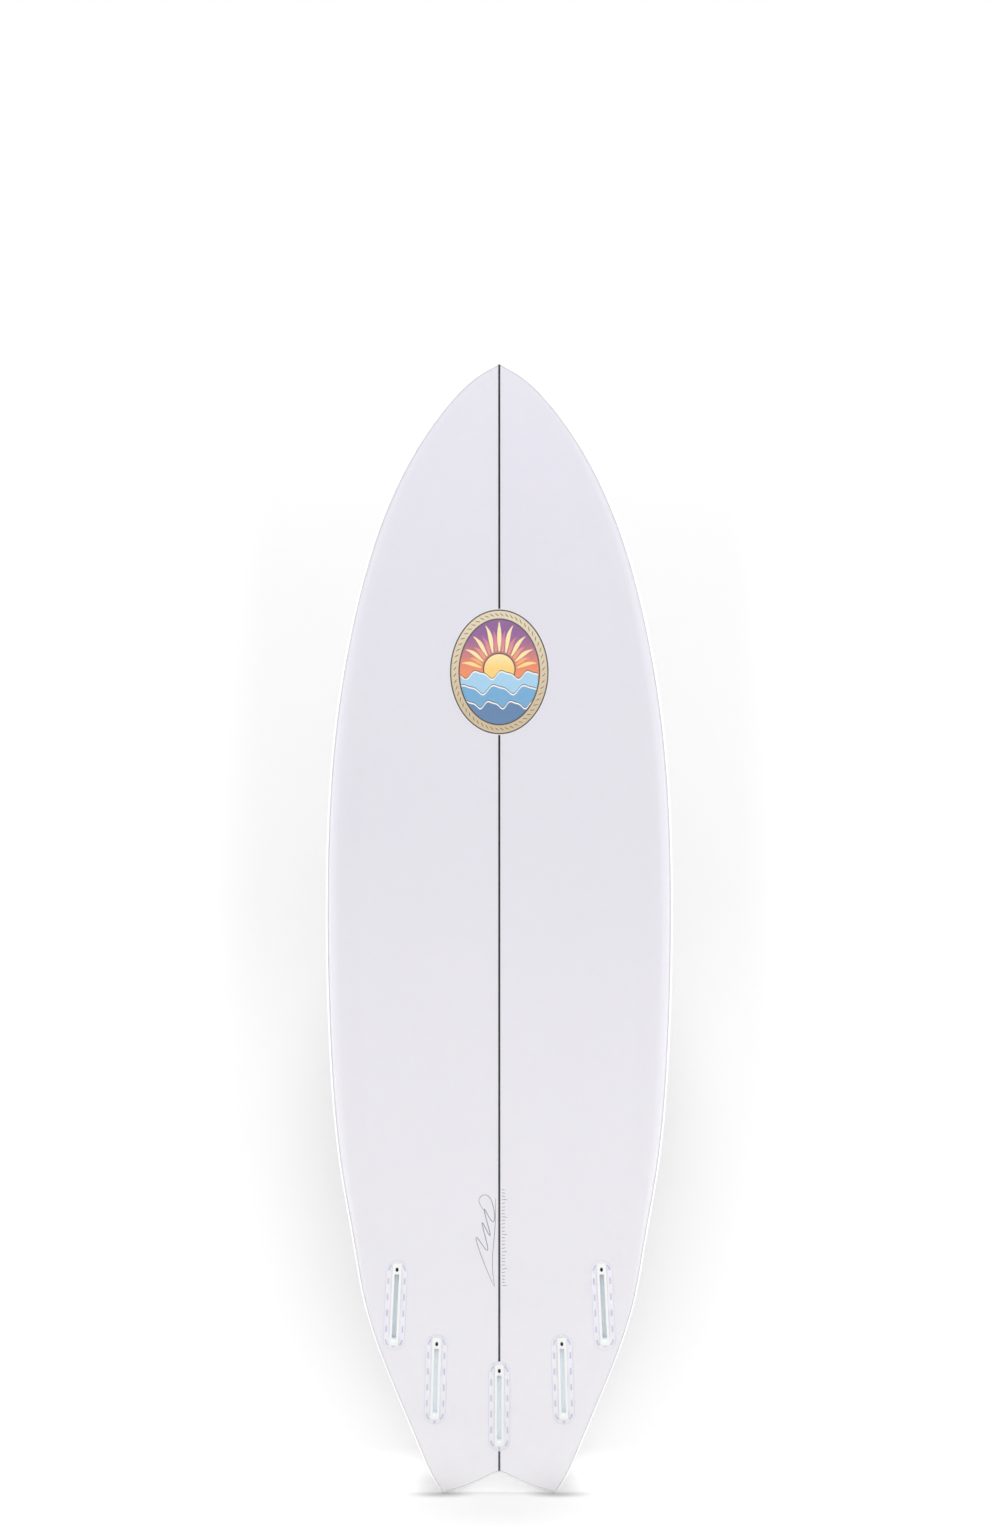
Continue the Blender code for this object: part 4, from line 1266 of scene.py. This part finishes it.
# A shaper's loose flourish beside the stringer, and a row of plain ticks along it.
flourish = [(-0.0080, 0.318), (-0.0200, 0.345), (-0.0340, 0.392), (-0.0180, 0.372), (-0.0260, 0.415), (-0.0140, 0.394), (-0.0230, 0.436), (-0.0100, 0.416), (-0.0180, 0.456), (-0.0300, 0.452), (-0.0210, 0.430)]
ribbon("pencil_flourish", [drawn(flourish, 160)], 0.00125, 0.00104, PENCIL)
ribbon("pencil_sweep", [drawn([(-0.0070, 0.316), (-0.0105, 0.352), (-0.0070, 0.400), (-0.0055, 0.452)], 60)], 0.0010, 0.00104, PENCIL)
ticks = []
for k in range(29):
    z = 0.318 + 0.00525 * k
    tall = 0.0088 if k % 5 == 0 else 0.0056
    ticks.append([(0.0035 + tall * t, z + 0.0006 * math.sin(3 * t + k)) for t in (0, 0.33, 0.66, 1.0)])
ribbon("pencil_ticks", ticks, 0.0009, 0.00104, PENCIL)

# ---------------------------------------------------------------- floor, light and camera

for helper in list(helpers.objects):
    bpy.data.objects.remove(helper, do_unlink=True)


def pale(name, tones, fade, painted_glow=0.0, one_sided=False, marks=None, shade=None):
    """A matt white studio surface that dissolves into the white surround at its border; its glow is painted light of
    its own up the sweep, and the marks, shade and dip beside the board are painted shadow.
    """
    n = Nodes(name)
    at = n.object_coordinates()
    grain = n.noise(at, 30.0, 4.0)
    parts = n.new("SeparateXYZ")
    n.link(at, parts.inputs[0])
    up = n.spread(parts.outputs["Z"], 0.0, 0.07, 0.0, 1.0)
    body = n.new("BsdfDiffuse")
    lit = n.mix(up, tones[0], tones[1])
    lit = n.mix(n.spread(grain, 0.3, 0.7, 0.0, 0.02), lit, (0.5, 0.5, 0.5))
    # Painted shadow: marks darkens the colour where the tail tips stand, and shade darkens colour and glow as the
    # board's soft shadow.
    lit = marks(n, parts, lit) if marks else lit
    dim = shade(n, parts) if shade else None
    n.link(n.mix(dim, lit, (0.0, 0.0, 0.0)) if shade else lit, body.inputs["Color"])
    own = n.new("Emission")
    own.inputs["Color"].default_value = (1, 1, 1, 1)
    low = n.spread(parts.outputs["Z"], 0.0, 0.045, 0.0, 1.0)
    # Painted shade: the glow is turned down beside the board at mid heights, a painted halo.
    painted_halo_dip = n.ramp(n.spread(parts.outputs["Z"], 0.0, 2.0, 0.0, 1.0, "LINEAR"), [(0.0, (0.0, 0.0, 0.0)), (0.20, (0.02, 0.02, 0.02)), (0.36, (0.10, 0.10, 0.10)), (0.45, (0.15, 0.15, 0.15)), (0.60, (0.16, 0.16, 0.16)), (0.70, (0.17, 0.17, 0.17)), (0.78, (0.12, 0.12, 0.12)), (0.88, (0.0, 0.0, 0.0))])
    beside = n.spread(n.math("ABSOLUTE", parts.outputs["X"]), 0.36, 0.48, 1.0, 0.0)
    level = n.math("SUBTRACT", n.math("ADD", 1.0, n.spread(parts.outputs["Z"], 1.6, 2.0, 0.0, 0.05)), n.math("MULTIPLY", painted_halo_dip, beside))
    strength = n.math("MULTIPLY", n.math("MULTIPLY", low, level), painted_glow)
    n.link(n.math("MULTIPLY", strength, n.math("SUBTRACT", 1.0, dim)) if shade else strength, own.inputs["Strength"])
    both = n.new("AddShader")
    n.link(body.outputs[0], both.inputs[0])
    n.link(own.outputs[0], both.inputs[1])
    clear = n.new("BsdfTransparent")
    gone = fade(n, at, parts)
    if one_sided:
        side = n.new("NewGeometry")
        gone = n.math("MAXIMUM", gone, side.outputs["Backfacing"])
    mix = n.new("MixShader")
    n.link(gone, mix.inputs[0])
    n.link(both.outputs[0], mix.inputs[1])
    n.link(clear.outputs[0], mix.inputs[2])
    return n.done(mix.outputs[0])


def oval_distance(n, a, centre_a, radius_a, b, centre_b, radius_b):
    u = n.math("DIVIDE", n.math("SUBTRACT", a, centre_a), radius_a)
    v = n.math("DIVIDE", n.math("SUBTRACT", b, centre_b), radius_b)
    return n.math("SQRT", n.math("ADD", n.math("MULTIPLY", u, u), n.math("MULTIPLY", v, v)))


def painted_contact_shadows(n, parts, lit):
    """Painted contact shadows: soft grey on the floor and sweep where the two tail tips stand."""
    tone = lit
    for side in (-1, 1):
        far = oval_distance(n, parts.outputs["X"], side * 0.088, 0.031, parts.outputs["Y"], -0.018, 0.040)
        tone = n.mix(n.spread(far, 0.0, 2.0, 0.43, 0.0), tone, (0.0, 0.0, 0.0))
    return tone


def floor_painted_shade(n, parts):
    """The board's soft shade painted on the floor in front of it."""
    return n.spread(oval_distance(n, parts.outputs["X"], 0.0, 0.20, parts.outputs["Y"], -0.33, 0.45), 0.0, 1.6, 0.165, 0.0)


def sweep_painted_shade(n, parts):
    """The board's soft shade painted on the sweep, beside its wide point."""
    return n.spread(oval_distance(n, parts.outputs["X"], 0.0, 0.30, parts.outputs["Z"], 0.44, 0.36), 0.75, 1.38, 0.09, 0.0)


def floor_fade(n, at, parts):
    far = n.new("VectorMath", operation="LENGTH")
    n.link(at, far.inputs[0])
    return n.spread(far.outputs["Value"], 0.9, 2.2, 0.0, 1.0)


def sweep_fade(n, at, parts):
    side = n.spread(n.math("ABSOLUTE", parts.outputs["X"]), 0.75, 1.20, 0.0, 1.0)
    top = n.spread(parts.outputs["Z"], 2.0, 2.6, 0.0, 1.0)
    return n.math("MAXIMUM", side, top)


bm = bmesh.new()
bmesh.ops.create_circle(bm, cap_ends=True, segments=96, radius=2.25)
floor = add("studio_floor", mesh_of("studio_floor", bm), pale("studio_floor", [(0.92, 0.92, 0.92)] * 2, floor_fade, marks=painted_contact_shadows, shade=floor_painted_shade), Matrix.Translation((0, 0, -0.0002)), bpy.context.scene.collection)
if floor.data.polygons[0].normal.z < 0:
    floor.data.flip_normals()

# A white sweep with a painted glow of its own rises close behind the tail and leans away towards the nose.
profile = [(0.010, 0.0)]
for i in range(1, 13):
    a = math.pi / 2 * i / 12
    profile.append((0.010 + 0.022 * math.sin(a), 0.022 * (1 - math.cos(a))))
for i in range(1, 61):
    z = 0.022 + (2.65 - 0.022) * i / 60
    profile.append((0.032 + 0.012 * (z - 0.022) + 0.80 * max(0.0, z - 0.60) ** 1.5, z))
bm = bmesh.new()
lines = [[bm.verts.new((-1.25 + 2.5 * j / 20, y, z)) for j in range(21)] for y, z in profile]
for a, b in zip(lines, lines[1:]):
    for j in range(20):
        bm.faces.new((a[j], a[j + 1], b[j + 1], b[j]))
sweep_mesh = bpy.data.meshes.new("studio_sweep")
bm.to_mesh(sweep_mesh)
bm.free()
sweep_mesh.shade_smooth()
sweep = add("studio_sweep", sweep_mesh, pale("studio_sweep", [(0.93, 0.93, 0.93), (0.47, 0.47, 0.47)], sweep_fade, 0.465, True, painted_contact_shadows, sweep_painted_shade), None, bpy.context.scene.collection)
# The sweep's glow is painted, with no lamp behind it, and the sweep is hidden from all but camera rays, so it neither
# shades the deck nor shows in the resin.
sweep.visible_diffuse = sweep.visible_glossy = sweep.visible_transmission = sweep.visible_shadow = False

world = bpy.data.worlds.new("studio")
bpy.context.scene.world = world
world.use_nodes = True
tree = world.node_tree
tree.nodes.clear()
out = tree.nodes.new("ShaderNodeOutputWorld")
seen = tree.nodes.new("ShaderNodeBackground")
seen.inputs["Color"].default_value = (1, 1, 1, 1)
seen.inputs["Strength"].default_value = 1.0
light = tree.nodes.new("ShaderNodeBackground")
light.inputs["Color"].default_value = (1.0, 1.0, 1.0, 1)
light.inputs["Strength"].default_value = 1.02
path = tree.nodes.new("ShaderNodeLightPath")
mix = tree.nodes.new("ShaderNodeMixShader")
tree.links.new(path.outputs["Is Camera Ray"], mix.inputs[0])
tree.links.new(light.outputs[0], mix.inputs[1])
tree.links.new(seen.outputs[0], mix.inputs[2])
tree.links.new(mix.outputs[0], out.inputs["Surface"])


def area(name, place, aim, size, power):
    data = bpy.data.lights.new(name, "AREA")
    data.shape = "RECTANGLE"
    data.size, data.size_y = size
    data.energy = power
    made = bpy.data.objects.new(name, data)
    bpy.context.scene.collection.objects.link(made)
    made.location = place
    made.rotation_euler = (Vector(aim) - Vector(place)).to_track_quat("-Z", "Y").to_euler()
    return made


area("top_light", (0.0, -0.25, 3.4), (0, -0.05, 0.0), (1.6, 1.2), 9)
area("fill_light", (2.8, -3.0, 1.8), (0, 0, 0.8), (1.6, 2.6), 11)
low = area("low_light", (0.1, -1.3, 0.30), (0, 0, 0.03), (1.6, 0.4), 1.7)
low.visible_glossy = False
area("left_strip", (-1.75, -0.05, 1.0), (0, -0.02, 0.9), (0.5, 2.4), 9)
area("right_strip", (1.75, -0.05, 1.0), (0, -0.02, 0.9), (0.5, 2.4), 7)

scene = bpy.context.scene
scene.view_settings.view_transform = "Standard"
scene.view_settings.look = "None"

PIXEL = 0.0015256  # size of a picture pixel at the board, for a picture 1532 high
DISTANCE = 12.0
camera = bpy.data.cameras.new("camera")
camera.sensor_fit = "AUTO"
camera.sensor_width = 36.0
camera.lens = 36.0 * (DISTANCE + 0.010) / (1532 * PIXEL)
camera.clip_end = 200.0
view = bpy.data.objects.new("camera", camera)
scene.collection.objects.link(view)
view.location = (-0.0027, -DISTANCE, (1493 - 766) * PIXEL - 0.0012)
view.rotation_euler = (math.pi / 2, 0, 0)
scene.camera = view
